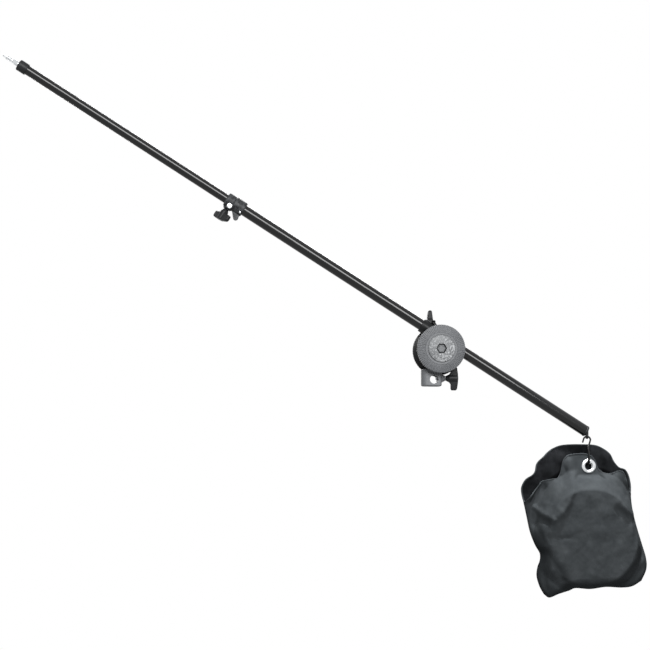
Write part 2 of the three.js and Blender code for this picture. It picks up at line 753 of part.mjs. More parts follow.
function collar() {
  const innerBore = innerTubeRadius + fitGap;
  const outerBore = outerTubeRadius + fitGap;
  const grooveFront = collarStep + collarGrooveWidth / 2;
  const grooveRear = collarStep - collarGrooveWidth / 2;
  const body = turned([
    [innerBore, -collarFront],
    [collarFrontRadius - collarEdge, -collarFront],
    [collarFrontRadius, -collarFront + collarEdge],
    [collarFrontRadius, -grooveFront],
    [collarFrontRadius - collarGrooveDepth, -grooveFront],
    [collarFrontRadius - collarGrooveDepth, -grooveRear],
    [collarRearRadius, -grooveRear],
    [collarRearRadius, -collarRear - collarEdge],
    [collarRearRadius - collarEdge, -collarRear],
    [outerBore, -collarRear],
    [outerBore, -outerTubeFront - fitGap],
    [innerBore, -outerTubeFront - fitGap],
  ], alongX, [0, 0, tubeOffset], tubeFacets);
  const bossEnd = tubeOffset - collarBossDrop;
  const boss = rod(collarBossRadius, 0, collarBossDrop, downZ,
    [-collarKnobAlong, 0, tubeOffset], smallFacets);
  const padHeight = tubeOffset - sideScrewDrop;
  const pad = rod(sidePadRadius, -sidePadDepth, -sidePadInner, alongY,
    [-sideScrewAlong, 0, padHeight], smallFacets);
  const lug = plate(lugShape(), -lugHalfThickness, lugHalfThickness);
  const innerRoom = rod(innerBore, -collarFront - overrun, -outerTubeFront, alongX,
    [0, 0, tubeOffset], tubeFacets);
  const outerRoom = rod(outerBore, -outerTubeFront - fitGap, -collarRear + overrun, alongX,
    [0, 0, tubeOffset], tubeFacets);
  const screwHole = rod(collarScrewRadius + fitGap, bossEnd - overrun, tubeOffset, alongZ,
    [-collarKnobAlong, 0, 0], smallFacets);
  const sideHole = rod(sideScrewShankRadius + fitGap, -sidePadDepth - overrun,
    -sidePadDepth + sideScrewShankLength, alongY, [-sideScrewAlong, 0, padHeight], smallFacets);
  return cut(joined(body, boss, pad, lug), innerRoom, outerRoom, screwHole, sideHole);
}

// Lug cast under the collar: a tapered tab, round at its root and at its tip
function lugShape() {
  const root = new THREE.Vector2(-lugRootAlong, tubeOffset - lugRootDrop);
  const tip = new THREE.Vector2(-lugTipAlong, tubeOffset - lugTipDrop);
  const lean = Math.atan2(tip.y - root.y, tip.x - root.x);
  const touch = Math.acos((lugRootRadius - lugTipRadius) / root.distanceTo(tip));
  const shape = new THREE.Shape();
  shape.absarc(root.x, root.y, lugRootRadius, lean + touch, lean + 2 * Math.PI - touch);
  shape.absarc(tip.x, tip.y, lugTipRadius, lean - touch, lean + touch);
  shape.closePath();
  return shape;
}

function sideScrew() {
  const place = [-sideScrewAlong, 0, tubeOffset - sideScrewDrop];
  const back = -sidePadDepth - fitGap;
  const front = back - sideScrewHeadHeight;
  const headBevel = sideScrewHeadHeight / 3;
  const profile = [
    [0, front], [sideScrewHeadRadius - headBevel, front],
    [sideScrewHeadRadius, front + headBevel], [sideScrewHeadRadius, back],
    [sideScrewShankRadius, back],
    [sideScrewShankRadius, back + sideScrewShankLength - fitGap],
    [0, back + sideScrewShankLength - fitGap],
  ];
  const keySocket = plate(hexagon(sideScrewSocketRadius), front - overrun,
    front + sideScrewHeadHeight / 2, place);
  return cut(turned(profile, alongY, place, smallFacets), keySocket);
}

// Eye plate: it stands square to the hook's loop, upright at the photographed tilt
function eyePlate() {
  const bottom = eyeHoleRadius + eyeRimWidth;
  const shape = new THREE.Shape();
  shape.absarc(0, 0, bottom, Math.PI, 2 * Math.PI);
  shape.lineTo(eyePlateHalfWidth, eyePlateHeight);
  shape.lineTo(-eyePlateHalfWidth, eyePlateHeight);
  shape.closePath();
  const hole = new THREE.Path();
  hole.absarc(0, 0, eyeHoleRadius, 0, 2 * Math.PI, true);
  shape.holes.push(hole);
  const geometry = new THREE.ExtrudeGeometry(shape, {
    depth: eyePlateThickness, curveSegments: smallFacets, bevelEnabled: false,
  });
  geometry.translate(0, 0, -eyePlateThickness / 2).rotateX(Math.PI / 2).rotateZ(Math.PI / 2);
  const wireSag = hookLoopRadius - Math.sqrt(hookLoopRadius ** 2 - (eyePlateThickness / 2) ** 2);
  const holeRise = eyeHoleRadius - wireRadius - fitGap - wireSag;
  geometry.translate(0, 0, holeRise).rotateY(-boomTilt);
  return toSolid(geometry.translate(eyeAlong, 0, eyeOffset));
}

function rearCap() {
  const flangeStart = outerTubeRear + fitGap;
  const plugRadius = outerTubeRadius - outerTubeWall - fitGap;
  const cap = turned([
    [0, flangeStart - rearCapPlug],
    [plugRadius - rearCapBevel, flangeStart - rearCapPlug],
    [plugRadius, flangeStart - rearCapPlug + rearCapBevel],
    [plugRadius, flangeStart],
    [rearCapRadius, flangeStart],
    [rearCapRadius, rearCapEnd - rearCapBevel],
    [rearCapRadius - rearCapBevel, rearCapEnd],
    [0, rearCapEnd],
  ], alongX, [0, 0, tubeOffset], tubeFacets);
  return joined(cap, eyePlate());
}

function addOuterTube() {
  const bore = outerTubeRadius - outerTubeWall;
  addPiece(boom, 'outer_tube', 'blackTube', ring(bore, outerTubeRadius, -outerTubeFront,
    outerTubeRear, alongX, [0, 0, tubeOffset], tubeFacets));
  addPiece(boom, 'collar', 'collarCast', collar());
  addPiece(boom, 'collar_side_screw', 'chrome', sideScrew());
  const shoeTop = tubeOffset - innerTubeRadius - fitGap;
  addPiece(boom, 'collar_brake_shoe', 'fibre', rod(collarScrewRadius, shoeTop - shoeThickness,
    shoeTop, alongZ, [-collarKnobAlong, 0, 0], smallFacets));
  addPiece(boom, 'rear_cap', 'blackPlastic', rearCap());
  const seat = tubeOffset - collarBossDrop - fitGap;
  addKnob(boom, { knob: 'collar_knob', screw: 'collar_knob_screw' }, collarScrewRadius,
    shoeTop - shoeThickness - fitGap - seat, [-collarKnobAlong, 0, seat], [0, 0, -1],
    collarKnobTurn);
}

// Inner tube, tip cap and stud

function addInnerTube() {
  const bore = innerTubeRadius - innerTubeWall;
  const onAxis = [0, 0, tubeOffset];
  addPiece(boom, 'inner_tube', 'blackTube', ring(bore, innerTubeRadius, -innerTubeFront,
    -innerTubeRear, alongX, onAxis, tubeFacets));
  const bushStart = -innerTubeRear + fitGap;
  addPiece(boom, 'inner_tube_bush', 'blackPlastic', turned([
    [0, bushStart - innerBushPlug], [bore - fitGap, bushStart - innerBushPlug],
    [bore - fitGap, bushStart], [innerTubeRadius, bushStart],
    [innerTubeRadius, bushStart + innerBushFlange], [0, bushStart + innerBushFlange],
  ], alongX, onAxis, tubeFacets));

  const capBore = innerTubeRadius + fitGap;
  addPiece(boom, 'tip_cap', 'blackPlastic', turned([
    [studBaseRadius + fitGap, -tipCapFront],
    [tipCapRadius - tipCapBevel, -tipCapFront],
    [tipCapRadius, -tipCapFront + tipCapBevel],
    [tipCapRadius, -tipCapRear],
    [capBore, -tipCapRear],
    [capBore, -innerTubeFront - fitGap],
    [studBaseRadius + fitGap, -innerTubeFront - fitGap],
  ], alongX, onAxis, tubeFacets));

  const waistStart = tipCapFront + studBaseLength;
  const threadStart = waistStart + studWaistLength;
  const tipStart = threadStart + studThreadLength;
  const studEnd = tipStart + studTipLength;
  const plugRadius = bore - fitGap;
  addPiece(boom, 'tip_stud', 'chrome', turned([
    [0, -studEnd],
    [studTipRadius - studBevel, -studEnd],
    [studTipRadius, -studEnd + studBevel],
    [studTipRadius, -tipStart],
    [studThreadRadius - studBevel, -tipStart],
    [studThreadRadius, -tipStart + studBevel],
    [studThreadRadius, -threadStart],
    [studWaistRadius, -threadStart],
    [studWaistRadius, -waistStart],
    [studBaseRadius, -waistStart],
    [studBaseRadius, -innerTubeFront],
    [plugRadius, -innerTubeFront],
    [plugRadius, -innerTubeFront + studPlugLength],
    [0, -innerTubeFront + studPlugLength],
  ], alongX, onAxis, smallFacets));
}

// Hook and bag, in upright axes with the origin at the centre of the hook's upper loop

function hookRoute() {
  const points = [];
  const steps = 14;
  const start = Math.PI / 2 + hookLoopArc;
  const tailEnd = [
    hookLoopRadius * Math.cos(start) - hookTailLength * Math.sin(start), 0,
    hookLoopRadius * Math.sin(start) + hookTailLength * Math.cos(start),
  ];
  points.push(tailEnd);
  for (let i = 0; i <= steps; i += 1) {
    const angle = start - (i * start) / steps;
    points.push([hookLoopRadius * Math.cos(angle), 0, hookLoopRadius * Math.sin(angle)]);
  }
  const bendCentre = -hookBendDrop + hookBendRadius;
  points.push([(hookLoopRadius + hookShankSide) / 2, 0, -hookNeckDrop / 2 - wireRadius]);
  points.push([hookShankSide, -hookBendRadius / 4, -hookNeckDrop]);
  points.push([hookShankSide, -hookBendRadius * 0.8, (bendCentre - hookNeckDrop) / 2]);
  for (let i = 0; i <= steps; i += 1) {
    const angle = Math.PI + (i * Math.PI) / steps;
    points.push([hookShankSide, hookBendRadius * Math.cos(angle),
      bendCentre + hookBendRadius * Math.sin(angle)]);
  }
  points.push([hookShankSide, hookBendRadius, bendCentre + hookTipRise]);
  return new THREE.CatmullRomCurve3(points.map((point) => new THREE.Vector3(...point)));
}

function hookSolid() {
  const section = new THREE.Shape();
  for (let i = 0; i < wireFacets; i += 1) {
    const angle = (i * 2 * Math.PI) / wireFacets;
    const point = [wireRadius * Math.cos(angle), wireRadius * Math.sin(angle)];
    if (i === 0) section.moveTo(...point);
    else section.lineTo(...point);
  }
  section.closePath();
  return toSolid(new THREE.ExtrudeGeometry(section, {
    extrudePath: hookRoute(), steps: hookSteps, bevelEnabled: false,
  }));
}

const smoothStep = (value) => {
  const clamped = Math.min(Math.max(value, 0), 1);
  return clamped * clamped * (3 - 2 * clamped);
};

function bagSection(down) {
  const table = bagSectionShares;
  let i = 1;
  while (i < table.length - 1 && table[i].down < down) i += 1;
  const [above, below] = [table[i - 1], table[i]];
  const mix = (down - above.down) / (below.down - above.down);
  const between = (key) => above[key] + (below[key] - above[key]) * mix;
  return { left: between('left'), right: between('right'), front: between('front'), back: between('back') };
}

const grommetDrop = grommetSeatRise - hookBendDrop - grommetHoleRadius;

function bagEnds(down) {
  const section = bagSection(down);
  const hookX = bagHookShare * bagWidth;
  return [section.left * bagWidth - hookX, section.right * bagWidth - hookX];
}

// How much a place across the bag belongs to the pinch round the grommets, from 0 to 1
function nearHook(x) {
  const away = Math.abs(x - hookShankSide) - flatHalfWidth;
  return 1 - smoothStep(away / bagPinchSpread);
}

function bagHeightAt(down, across, side) {
  const [left, right] = bagEnds(0);
  const x = (left + right) / 2 + ((right - left) / 2) * across;
  const arch = Math.pow(Math.max(1 - across * across, 0), rimArchPower);
  const frontRise = (bagFrontRise + bagFrontSag) * nearHook(x) * arch - bagFrontSag * arch;
  const rise = side > 0 ? bagBackRise * arch : frontRise;
  const fade = 1 - smoothStep(down / bagRimFadeShare);
  const droop = Math.exp(-Math.pow((across + bagDroopAcross) / bagDroopSpread, 2)) * bagCornerDroop;
  return -bagRimDrop - down * bagHeight + Math.abs(side) * rise * fade - droop * down ** 3;
}

// Depth of the bag's front or back skin: a belly over the ballast and flatter edges, pinched
// together where the grommets hang on the hook.
function bagSkinDepth(down, across, side) {
  const section = bagSection(down);
  const [left, right] = bagEnds(down);
  const x = (left + right) / 2 + ((right - left) / 2) * across;
  const edge = Math.sqrt(Math.max(1 - across * across, 0));
  const [ballastLeft, ballastRight] = ballastEnds;
  const fromBelly = Math.abs(x - (ballastLeft + ballastRight) / 2) / (ballastRight - ballastLeft);
  const belly = 1 - smoothStep((fromBelly - bellyFlatShare / 2) / bellyFlatShare);
  const fullness = side < 0 ? section.front : section.back;
  const open = bagDepth * fullness * (bagEdgeShare + (1 - bagEdgeShare) * belly) * edge;
  const flatDrop = side > 0 ? backFlatDrop : frontFlatDrop;
  const below = grommetDrop - flatDrop - bagHeightAt(down, across, side);
  const pinch = nearHook(x) * (1 - smoothStep(below / bagPinchFade));
  const pinched = panelDepth + panelThickness / 2;
  return Math.max(open * (1 - pinch) + pinched * pinch, bagSeamHalf * edge);
}

// One ring of points round the bag at a share of the way down, inset from the outer skin
function bagRing(down, inset, count) {
  const [left, right] = bagEnds(down);
  const points = [];
  for (let i = 0; i < count; i += 1) {
    const across = Math.cos((i * 2 * Math.PI) / count);
    let side = i < count / 2 ? 1 : -1;
    if (i % (count / 2) === 0) side = 0;
    const depth = Math.max(bagSkinDepth(down, across, side) - inset, fitGap);
    const z = bagHeightAt(down, across, side);
    const leanShare = smoothStep((z - grommetDrop - grommetRadius) / bagBackRise);
    const lean = side > 0 ? bagBackLean * leanShare : 0;
    const half = (right - left) / 2 - inset;
    points.push(new THREE.Vector3((left + right) / 2 + half * across, side * depth + lean, z));
  }
  return points;
}

// Skin through rings of equal count; each end is closed by a strip from front to back
function loft(rings, closed) {
  const count = rings[0].length;
  const positions = rings.flat().flatMap((point) => point.toArray());
  const triangles = [];
  const last = closed ? rings.length : rings.length - 1;
  for (let r = 0; r < last; r += 1) {
    const upper = r * count;
    const lower = ((r + 1) % rings.length) * count;
    for (let i = 0; i < count; i += 1) {
      const next = (i + 1) % count;
      triangles.push(upper + i, lower + i, lower + next, upper + i, lower + next, upper + next);
    }
  }
  const cap = (start, flip) => {
    for (let i = 0; i < count / 2; i += 1) {
      const [a, b] = [start + i, start + i + 1];
      const [c, d] = [start + ((count - i) % count), start + count - i - 1];
      const corners = [[a, b, d], [a, d, c]].filter(([p, q, s]) => p !== q && q !== s && p !== s);
      corners.forEach(([p, q, s]) => triangles.push(...(flip ? [p, s, q] : [p, q, s])));
    }
  };
  if (!closed) {
    cap(0, false);
    cap((rings.length - 1) * count, true);
  }
  const geometry = new THREE.BufferGeometry();
  geometry.setAttribute('position', new THREE.Float32BufferAttribute(positions, 3));
  geometry.setIndex(triangles);
  return geometry;
}

function bagShell() {
  const downs = [];
  for (let i = 0; i <= bagRows; i += 1) downs.push((i / bagRows) ** bagRowPower);
  const outer = downs.map((down) => bagRing(down, 0, bagPointsRound));
  const floorShare = 1 - panelThickness / bagHeight;
  const inner = downs.map((down) => bagRing(Math.min(down, floorShare), panelThickness,
    bagPointsRound));
  return toSolid(loft([...inner.reverse(), ...outer], false));
}

function grommet(side) {
  const centre = [hookShankSide, 0, grommetDrop];
  const half = panelThickness / 2 + fitGap;
  const outer = half + grommetFlange;
  return turned([
    [grommetHoleRadius, side * panelDepth - outer],
    [grommetRadius, side * panelDepth - outer],
    [grommetRadius, side * panelDepth - half],
    [grommetBarrelRadius, side * panelDepth - half],
    [grommetBarrelRadius, side * panelDepth + half],
    [grommetRadius, side * panelDepth + half],
    [grommetRadius, side * panelDepth + outer],
    [grommetHoleRadius, side * panelDepth + outer],
  ], alongY, centre, smallFacets);
}

function ballast() {
  const rings = [];
  for (let i = 0; i <= ballastSteps; i += 1) {
    const share = i / ballastSteps;
    const down = ballastTopShare + (ballastBottomShare - ballastTopShare) * share;
    const [left, right] = bagEnds(down);
    const [ballastLeft, ballastRight] = ballastEnds;
    const taper = Math.sqrt(1 - (1 - ballastEndShare) * Math.pow(2 * share - 1, 4));
    const points = [];
    for (let k = 0; k < ballastFacets; k += 1) {
      const angle = (k * 2 * Math.PI) / ballastFacets;
      const reach = ((ballastRight - ballastLeft) / 2) * taper;
      const x = (ballastLeft + ballastRight) / 2 + reach * Math.cos(angle);
      const across = (2 * x - left - right) / (right - left);
      const side = Math.sign(Math.sin(angle)) || 1;
      const room = bagSkinDepth(down, across, side) - panelThickness - ballastClearance;
      const z = bagHeightAt(down, across, 0);
      points.push(new THREE.Vector3(x, room * taper * Math.sin(angle), z));
    }
    rings.push(points);
  }
  return toSolid(loft(rings, false));
}

function addHookAndBag() {
  const hanging = new THREE.Group();
  const eye = new THREE.Vector3(eyeAlong, 0, eyeOffset).applyEuler(new THREE.Euler(0, boomTilt, 0));
  hanging.position.set(pivotSide + eye.x, 0, pivotHeight + eye.z - hookLoopRadius);
  boomArm.add(hanging);
  addPiece(hanging, 's_hook', 'blackWire', hookSolid());

  const grommetHole = rod(grommetBarrelRadius + fitGap, -panelDepth - overrun * 2,
    panelDepth + overrun * 2, alongY, [hookShankSide, 0, grommetDrop], smallFacets);
  const bag = cut(bagShell(), grommetHole);
  addPiece(hanging, 'weight_bag', 'nylon', bag);
  addPiece(hanging, 'front_grommet', 'chrome', grommet(-1));
  addPiece(hanging, 'rear_grommet', 'chrome', grommet(1));
  addPiece(hanging, 'ballast_pouch', 'ballastCover', ballast());
}

addHead();
addTiltKnob();
addStandKnob();
addClamp();
addOuterTube();
addInnerTube();
addHookAndBag();

export default boomArm;
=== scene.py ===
import math

import bmesh
import bpy
from mathutils import Matrix, Vector, noise
from mathutils.bvhtree import BVHTree


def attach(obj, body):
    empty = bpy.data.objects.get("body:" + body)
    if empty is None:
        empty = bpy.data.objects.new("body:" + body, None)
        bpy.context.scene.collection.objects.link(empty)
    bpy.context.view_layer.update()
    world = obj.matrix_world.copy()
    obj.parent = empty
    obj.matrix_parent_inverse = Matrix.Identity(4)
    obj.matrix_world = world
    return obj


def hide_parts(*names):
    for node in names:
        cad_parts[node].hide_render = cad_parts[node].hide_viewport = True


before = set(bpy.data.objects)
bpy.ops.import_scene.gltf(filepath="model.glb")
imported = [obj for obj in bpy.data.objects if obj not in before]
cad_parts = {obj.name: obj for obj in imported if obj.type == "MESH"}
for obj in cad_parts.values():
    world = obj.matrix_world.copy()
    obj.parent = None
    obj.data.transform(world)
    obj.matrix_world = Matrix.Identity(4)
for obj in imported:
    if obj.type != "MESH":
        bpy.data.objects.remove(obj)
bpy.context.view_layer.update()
print("frame loaded")

mm = 0.001

# Where the joints lie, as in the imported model
layout = {
    "pivotX": 11.9, "pivotZ": 72.8, "tilt": 32.45, "tubeOffset": 23.3, "loopX": 310.727,
    "loopZ": -105.721, "hangX": 312.527, "grommetZ": -157.921, "bagX": 308.2, "bagZ": -105.6,
    "boomAlong": (0.84386, 0, -0.53656),
}

quarterTurn = math.radians(90)


def shift(x, y, z):
    return Matrix.Translation(Vector((x, y, z)) * mm)


atPivot = shift(layout["pivotX"], 0, layout["pivotZ"])
boomPlace = atPivot @ Matrix.Rotation(math.radians(layout["tilt"]), 4, "Y")
towardsX = Matrix.Rotation(quarterTurn, 4, "Y")
towardsY = Matrix.Rotation(-quarterTurn, 4, "X")
tubeLine = boomPlace @ shift(0, 0, layout["tubeOffset"]) @ towardsX
pivotLine = atPivot @ towardsY
hookPlace = shift(layout["loopX"], 0, layout["loopZ"])


# Materials are built from nodes, with every pattern given in real millimetres


def linearColour(hexText):
    channels = [int(hexText[i : i + 2], 16) / 255 for i in (1, 3, 5)]
    return [c / 12.92 if c <= 0.04045 else ((c + 0.055) / 1.055) ** 2.4 for c in channels] + [1]


def addNode(material, kind, inputs=None, **settings):
    node = material.node_tree.nodes.new(kind)
    for name, value in settings.items():
        setattr(node, name, value)
    for name, value in (inputs or {}).items():
        if isinstance(value, bpy.types.NodeSocket):
            material.node_tree.links.new(value, node.inputs[name])
        else:
            node.inputs[name].default_value = value
    return node


def newMaterial(name, shaderInputs):
    material = bpy.data.materials.new(name)
    material.use_nodes = True
    shader = material.node_tree.nodes["Principled BSDF"]
    for socket, value in shaderInputs.items():
        shader.inputs[socket].default_value = value
    return material, shader


# Pattern coordinates in millimetres, turned along the boom where a grain follows it
def millimetres(material, along=False, stretch=(1, 1, 1)):
    coordinates = addNode(material, "ShaderNodeTexCoord")
    turn = {"Rotation": (0, -math.radians(layout["tilt"]) if along else 0, 0)}
    turned = addNode(
        material, "ShaderNodeMapping",
        {"Vector": coordinates.outputs["Object"], **turn, "Scale": (1 / mm, 1 / mm, 1 / mm)},
    )
    return addNode(
        material, "ShaderNodeMapping", {"Vector": turned.outputs["Vector"], "Scale": stretch}
    ).outputs["Vector"]


# Lays a finish on: its colour, shine and relief each follow a pattern
def layFinish(material, shader, colours, shine, relief):
    pattern, dark, light = colours
    colour = addNode(
        material, "ShaderNodeMix",
        {0: pattern, 6: linearColour(dark), 7: linearColour(light)}, data_type="RGBA",
    )
    ends = {
        "Base Color": colour.outputs[2],
        "Roughness": addNode(material, "ShaderNodeMapRange", shine).outputs["Result"],
        "Normal": addNode(material, "ShaderNodeBump", relief).outputs["Normal"],
    }
    for socket, output in ends.items():
        material.node_tree.links.new(output, shader.inputs[socket])


# A sprayed or plated surface: fine grain in the finish, and slow colour drift from handling
def coatedMaterial(
    name, dark, light, roughness, grain, drift, relief, metallic=0.0, specular=0.5, low=0.75,
    high=1.25,
):
    material, shader = newMaterial(
        name, {"Metallic": metallic, "Roughness": roughness, "Specular IOR Level": specular}
    )
    place = millimetres(material)
    fine, slow = [
        addNode(
            material, "ShaderNodeTexNoise",
            {"Vector": place, "Scale": 1 / size, "Detail": detail, "Roughness": 0.5},
        ).outputs["Fac"]
        for size, detail in ((grain, 3.0), (drift, 2.0))
    ]
    both = addNode(material, "ShaderNodeMath", {0: fine, 1: slow}, operation="ADD")
    factor = addNode(
        material, "ShaderNodeMapRange",
        {"Value": both.outputs["Value"], "From Min": low, "From Max": high},
    )
    # Handling changes the shine by up to this much
    swing = 0.15 * roughness
    layFinish(
        material, shader, (factor.outputs["Result"], dark, light),
        {"Value": slow, "To Min": roughness - swing, "To Max": roughness + swing},
        {"Height": fine, "Distance": relief * mm, "Strength": 1.0},
    )
    return material


# Sprayed grey casting: satin, with the faint peel of powder coat
greyCast = coatedMaterial(
    "powderCoatedCasting", "#5c5e61", "#6c6e71", roughness=0.5, grain=1.6, drift=24, relief=0.12
)
# Blasted aluminium plate: paler, with painted glints: its sparkle is light specks of grain in its
# colour
palePlate = coatedMaterial(
    "blastedAluminium", "#606264", "#b4b6b8", roughness=0.5, grain=2.4, drift=90, relief=0.2,
    metallic=0.1, low=0.88, high=1.16,
)
# Bolt head, dulled by handling: darker than the plate, with a soft metal shine
darkSteel = coatedMaterial(
    "dulledSteel", "#4c4e50", "#606264", roughness=0.45, grain=0.8, drift=9, relief=0.05,
    metallic=0.25,
)
# Baked black enamel on the rear disc and the clamp: a soft shine on its edges
blackPaint = coatedMaterial(
    "blackEnamel", "#101112", "#1a1b1c", roughness=0.34, grain=1.4, drift=20, relief=0.06,
    specular=0.16,
)
# The collar's coat is greyer and blotchy, as on thin paint over a die casting
collarPaint = coatedMaterial(
    "darkEnamelCasting", "#1b1c1e", "#404244", roughness=0.45, grain=2.6, drift=7, relief=0.25,
    specular=0.2, low=0.86, high=1.14,
)
# Glass-filled nylon: near black, dull, with a fine moulded texture
knobPlastic = coatedMaterial(
    "mouldedGlassFilledNylon", "#1b1c1d", "#27282a", roughness=0.4, grain=0.7, drift=10,
    relief=0.05, specular=0.16,
)
# Bright zinc on screws and washers: cool, slightly cloudy
zincPlate = coatedMaterial(
    "brightZincPlate", "#a9adb1", "#bfc3c6", roughness=0.28, grain=0.9, drift=8, relief=0.03,
    metallic=1.0,
)
# Chrome on the stud and grommets: nearly a mirror
chromePlate = coatedMaterial(
    "polishedChromePlate", "#cfd2d4", "#dfe1e3", roughness=0.12, grain=2.5, drift=12,
    relief=0.01, metallic=1.0,
)
# Phosphated hook wire: black with a thin oily shine
blackWire = coatedMaterial(
    "phosphatedSteelWire", "#080808", "#0f0f10", roughness=0.38, grain=0.8, drift=8,
    relief=0.03, specular=0.12,
)
# Pressed brown fibre of the friction washers: dry and coarse
frictionFibre = coatedMaterial(
    "pressedFibre", "#4a3423", "#664b36", roughness=0.85, grain=0.7, drift=6, relief=0.2
)


# Drawn and anodised tube: fine die lines along it under a glossy black dye
dieLines = {"stretch": (0.012, 1.6, 1.6), "relief": 0.02, "glossiest": 0.07, "dullest": 0.13}


def anodisedTube():
    d = dieLines
    material, shader = newMaterial(
        "blackAnodisedTube", {"Roughness": 0.15, "Specular IOR Level": 0.36}
    )
    along = millimetres(material, True, d["stretch"])
    lines = addNode(
        material, "ShaderNodeTexNoise",
        {"Vector": along, "Scale": 1.0, "Detail": 4.0, "Roughness": 0.5},
    ).outputs["Fac"]
    shine = {"To Min": d["glossiest"], "To Max": d["dullest"]}
    layFinish(
        material, shader, (lines, "#060607", "#0e0f10"),
        {"Value": lines, "From Min": 0.3, "From Max": 0.7, **shine},
        {"Height": lines, "Distance": d["relief"] * mm, "Strength": 1.0},
    )
    return material


tubeBlack = anodisedTube()


# Coated nylon: a plain weave, drawn at 1.2 mm where the real 0.4 mm threads wouldn't show
weave = {"pitch": 1.2, "distortion": 0.6, "relief": 0.06, "strength": 0.6, "cloud": 30}


def coatedNylon(name, dark, light, sheen):
    inputs = {"Roughness": 0.6, "Specular IOR Level": 0.0, "Sheen Weight": sheen}
    inputs |= {"Sheen Roughness": 0.4, "Sheen Tint": linearColour("#aeb4b8")}
    material, shader = newMaterial(name, inputs)
    bands = {"Vector": addNode(material, "ShaderNodeTexCoord").outputs["UV"], "Detail": 1.0}
    bands |= {"Scale": 1 / weave["pitch"] / 2, "Distortion": weave["distortion"]}
    threads = [
        addNode(
            material, "ShaderNodeTexWave", bands, wave_type="BANDS", bands_direction=direction
        ).outputs["Fac"]
        for direction in ("X", "Y")
    ]
    crossed = addNode(
        material, "ShaderNodeMath", {0: threads[0], 1: threads[1]}, operation="MULTIPLY"
    )
    place = millimetres(material)
    cloudy = addNode(
        material, "ShaderNodeTexNoise",
        {"Vector": place, "Scale": 1 / weave["cloud"], "Detail": 4.0, "Roughness": 0.6},
    ).outputs["Fac"]
    factor = addNode(
        material, "ShaderNodeMapRange", {"Value": cloudy, "From Min": 0.3, "From Max": 0.7}
    )
    relief = {"Distance": weave["relief"] * mm, "Strength": weave["strength"]}
    layFinish(
        material, shader, (factor.outputs["Result"], dark, light),
        {"Value": cloudy, "To Min": 0.5, "To Max": 0.7},
        {"Height": crossed.outputs["Value"], **relief},
    )
    return material


# Outside of the bag, its inside, and the sand pouch. The inside is a darker copy of the outside
# cloth: painted shade for the shadowed inside of the mouth.
bagNylon = coatedNylon("coatedNylonCloth", "#2e3133", "#393c3e", 0.02)
shadedInsideCloth = coatedNylon("insideClothPaintedShade", "#0f1011", "#1e1f21", 0.0)
pouchCloth = coatedNylon("pouchCloth", "#1c1d1f", "#28292b", 0.05)
print("materials made")


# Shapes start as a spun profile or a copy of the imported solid


def spun(profile, facets=96, ring=False):
    bm = bmesh.new()
    corners = [bm.verts.new((radius * mm, 0, height * mm)) for radius, height in profile]
    for first, second in zip(corners, corners[1:]):
        bm.edges.new((first, second))
    if ring:
        bm.edges.new((corners[-1], corners[0]))
    bmesh.ops.spin(
        bm, geom=bm.verts[:] + bm.edges[:], cent=(0, 0, 0), axis=(0, 0, 1), angle=2 * math.pi,
        steps=facets, use_merge=True,
    )
    bmesh.ops.remove_doubles(bm, verts=bm.verts, dist=1e-7)
    bmesh.ops.recalc_face_normals(bm, faces=bm.faces)
    return bm


def nodeCopy(nodeName):
    bm = bmesh.new()
    bm.from_mesh(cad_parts[nodeName].data)
    bmesh.ops.remove_doubles(bm, verts=bm.verts, dist=2e-6)
    return bm


def inScene(name, data):
    obj = bpy.data.objects.new(name, data)
    bpy.context.scene.collection.objects.link(obj)
    return obj


def toObject(bm, name, place, material, smoothAngle=40):
    bmesh.ops.transform(bm, matrix=place, verts=bm.verts)
    mesh = bpy.data.meshes.new(name)
    bm.to_mesh(mesh)
    bm.free()
    mesh.materials.append(material)
    mesh.shade_smooth()
    if smoothAngle:
        mesh.set_sharp_from_angle(angle=math.radians(smoothAngle))
    return inScene(name, mesh)


def addPiece(bm, name, place, material, body, nodes=(), smoothAngle=40):
    piece = toObject(bm, name, place, material, smoothAngle)
    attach(piece, body)
    if nodes:
        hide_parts(*nodes)
    return piece


# A cast or moulded piece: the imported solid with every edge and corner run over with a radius
def addMoulding(bm, name, material, body, nodes, voxel, passes):
    piece = addPiece(bm, name, Matrix(), material, body, nodes, 0)
    remesh = piece.modifiers.new("remesh", "REMESH")
    remesh.mode = "VOXEL"
    remesh.voxel_size = voxel * mm
    remesh.use_smooth_shade = True
    smooth = piece.modifiers.new("smooth", "SMOOTH")
    smooth.factor = 0.5
    smooth.iterations = passes
    evaluated = piece.evaluated_get(bpy.context.evaluated_depsgraph_get())
    finished = bpy.data.meshes.new_from_object(evaluated)
    piece.modifiers.clear()
    piece.data = finished


def dressNode(nodeName, material):
    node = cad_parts[nodeName]
    node.data.materials.clear()
    node.data.materials.append(material)
    node.data.shade_smooth()
    node.data.set_sharp_from_angle(angle=math.radians(30))


nodeFinishes = {
    frictionFibre: ["front_friction_washer", "rear_friction_washer", "collar_brake_shoe"],
    zincPlate: ["tilt_knob_nut", "stand_knob_screw"],
    blackWire: ["clamp_knob_screw"],
    knobPlastic: ["inner_tube_bush"],
}
for material, nodeNames in nodeFinishes.items():
    for nodeName in nodeNames:
        dressNode(nodeName, material)
print("hidden nodes dressed")


# Head: a disc with fine radial ribs, as turned into its face, and a toothed rim

frontDisc = {
    "bore": 11.0, "pocket": 27.1, "pocketFloor": -33.6, "groove": 28.6, "grooveFloor": -34.3,
    "lip": 0.4, "face": -35.0, "back": -21.0, "backBevel": 1.2, "radius": 48.0, "bevel": 1.3,
    "ribs": 76, "ribStart": 31.0, "ribDepth": 1.3, "rimCut": 3.2, "rimFade": 1.0,
}
rearDisc = {
    "bore": 5.3, "pocket": 30.0, "pocketDepth": 2.0, "lip": 0.4, "face": 27.5, "back": 21.0,
    "radius": 49.7, "bevel": 1.4, "ribs": 60, "ribStart": 34.0, "ribDepth": 0.8, "rimCut": 2.6,
}
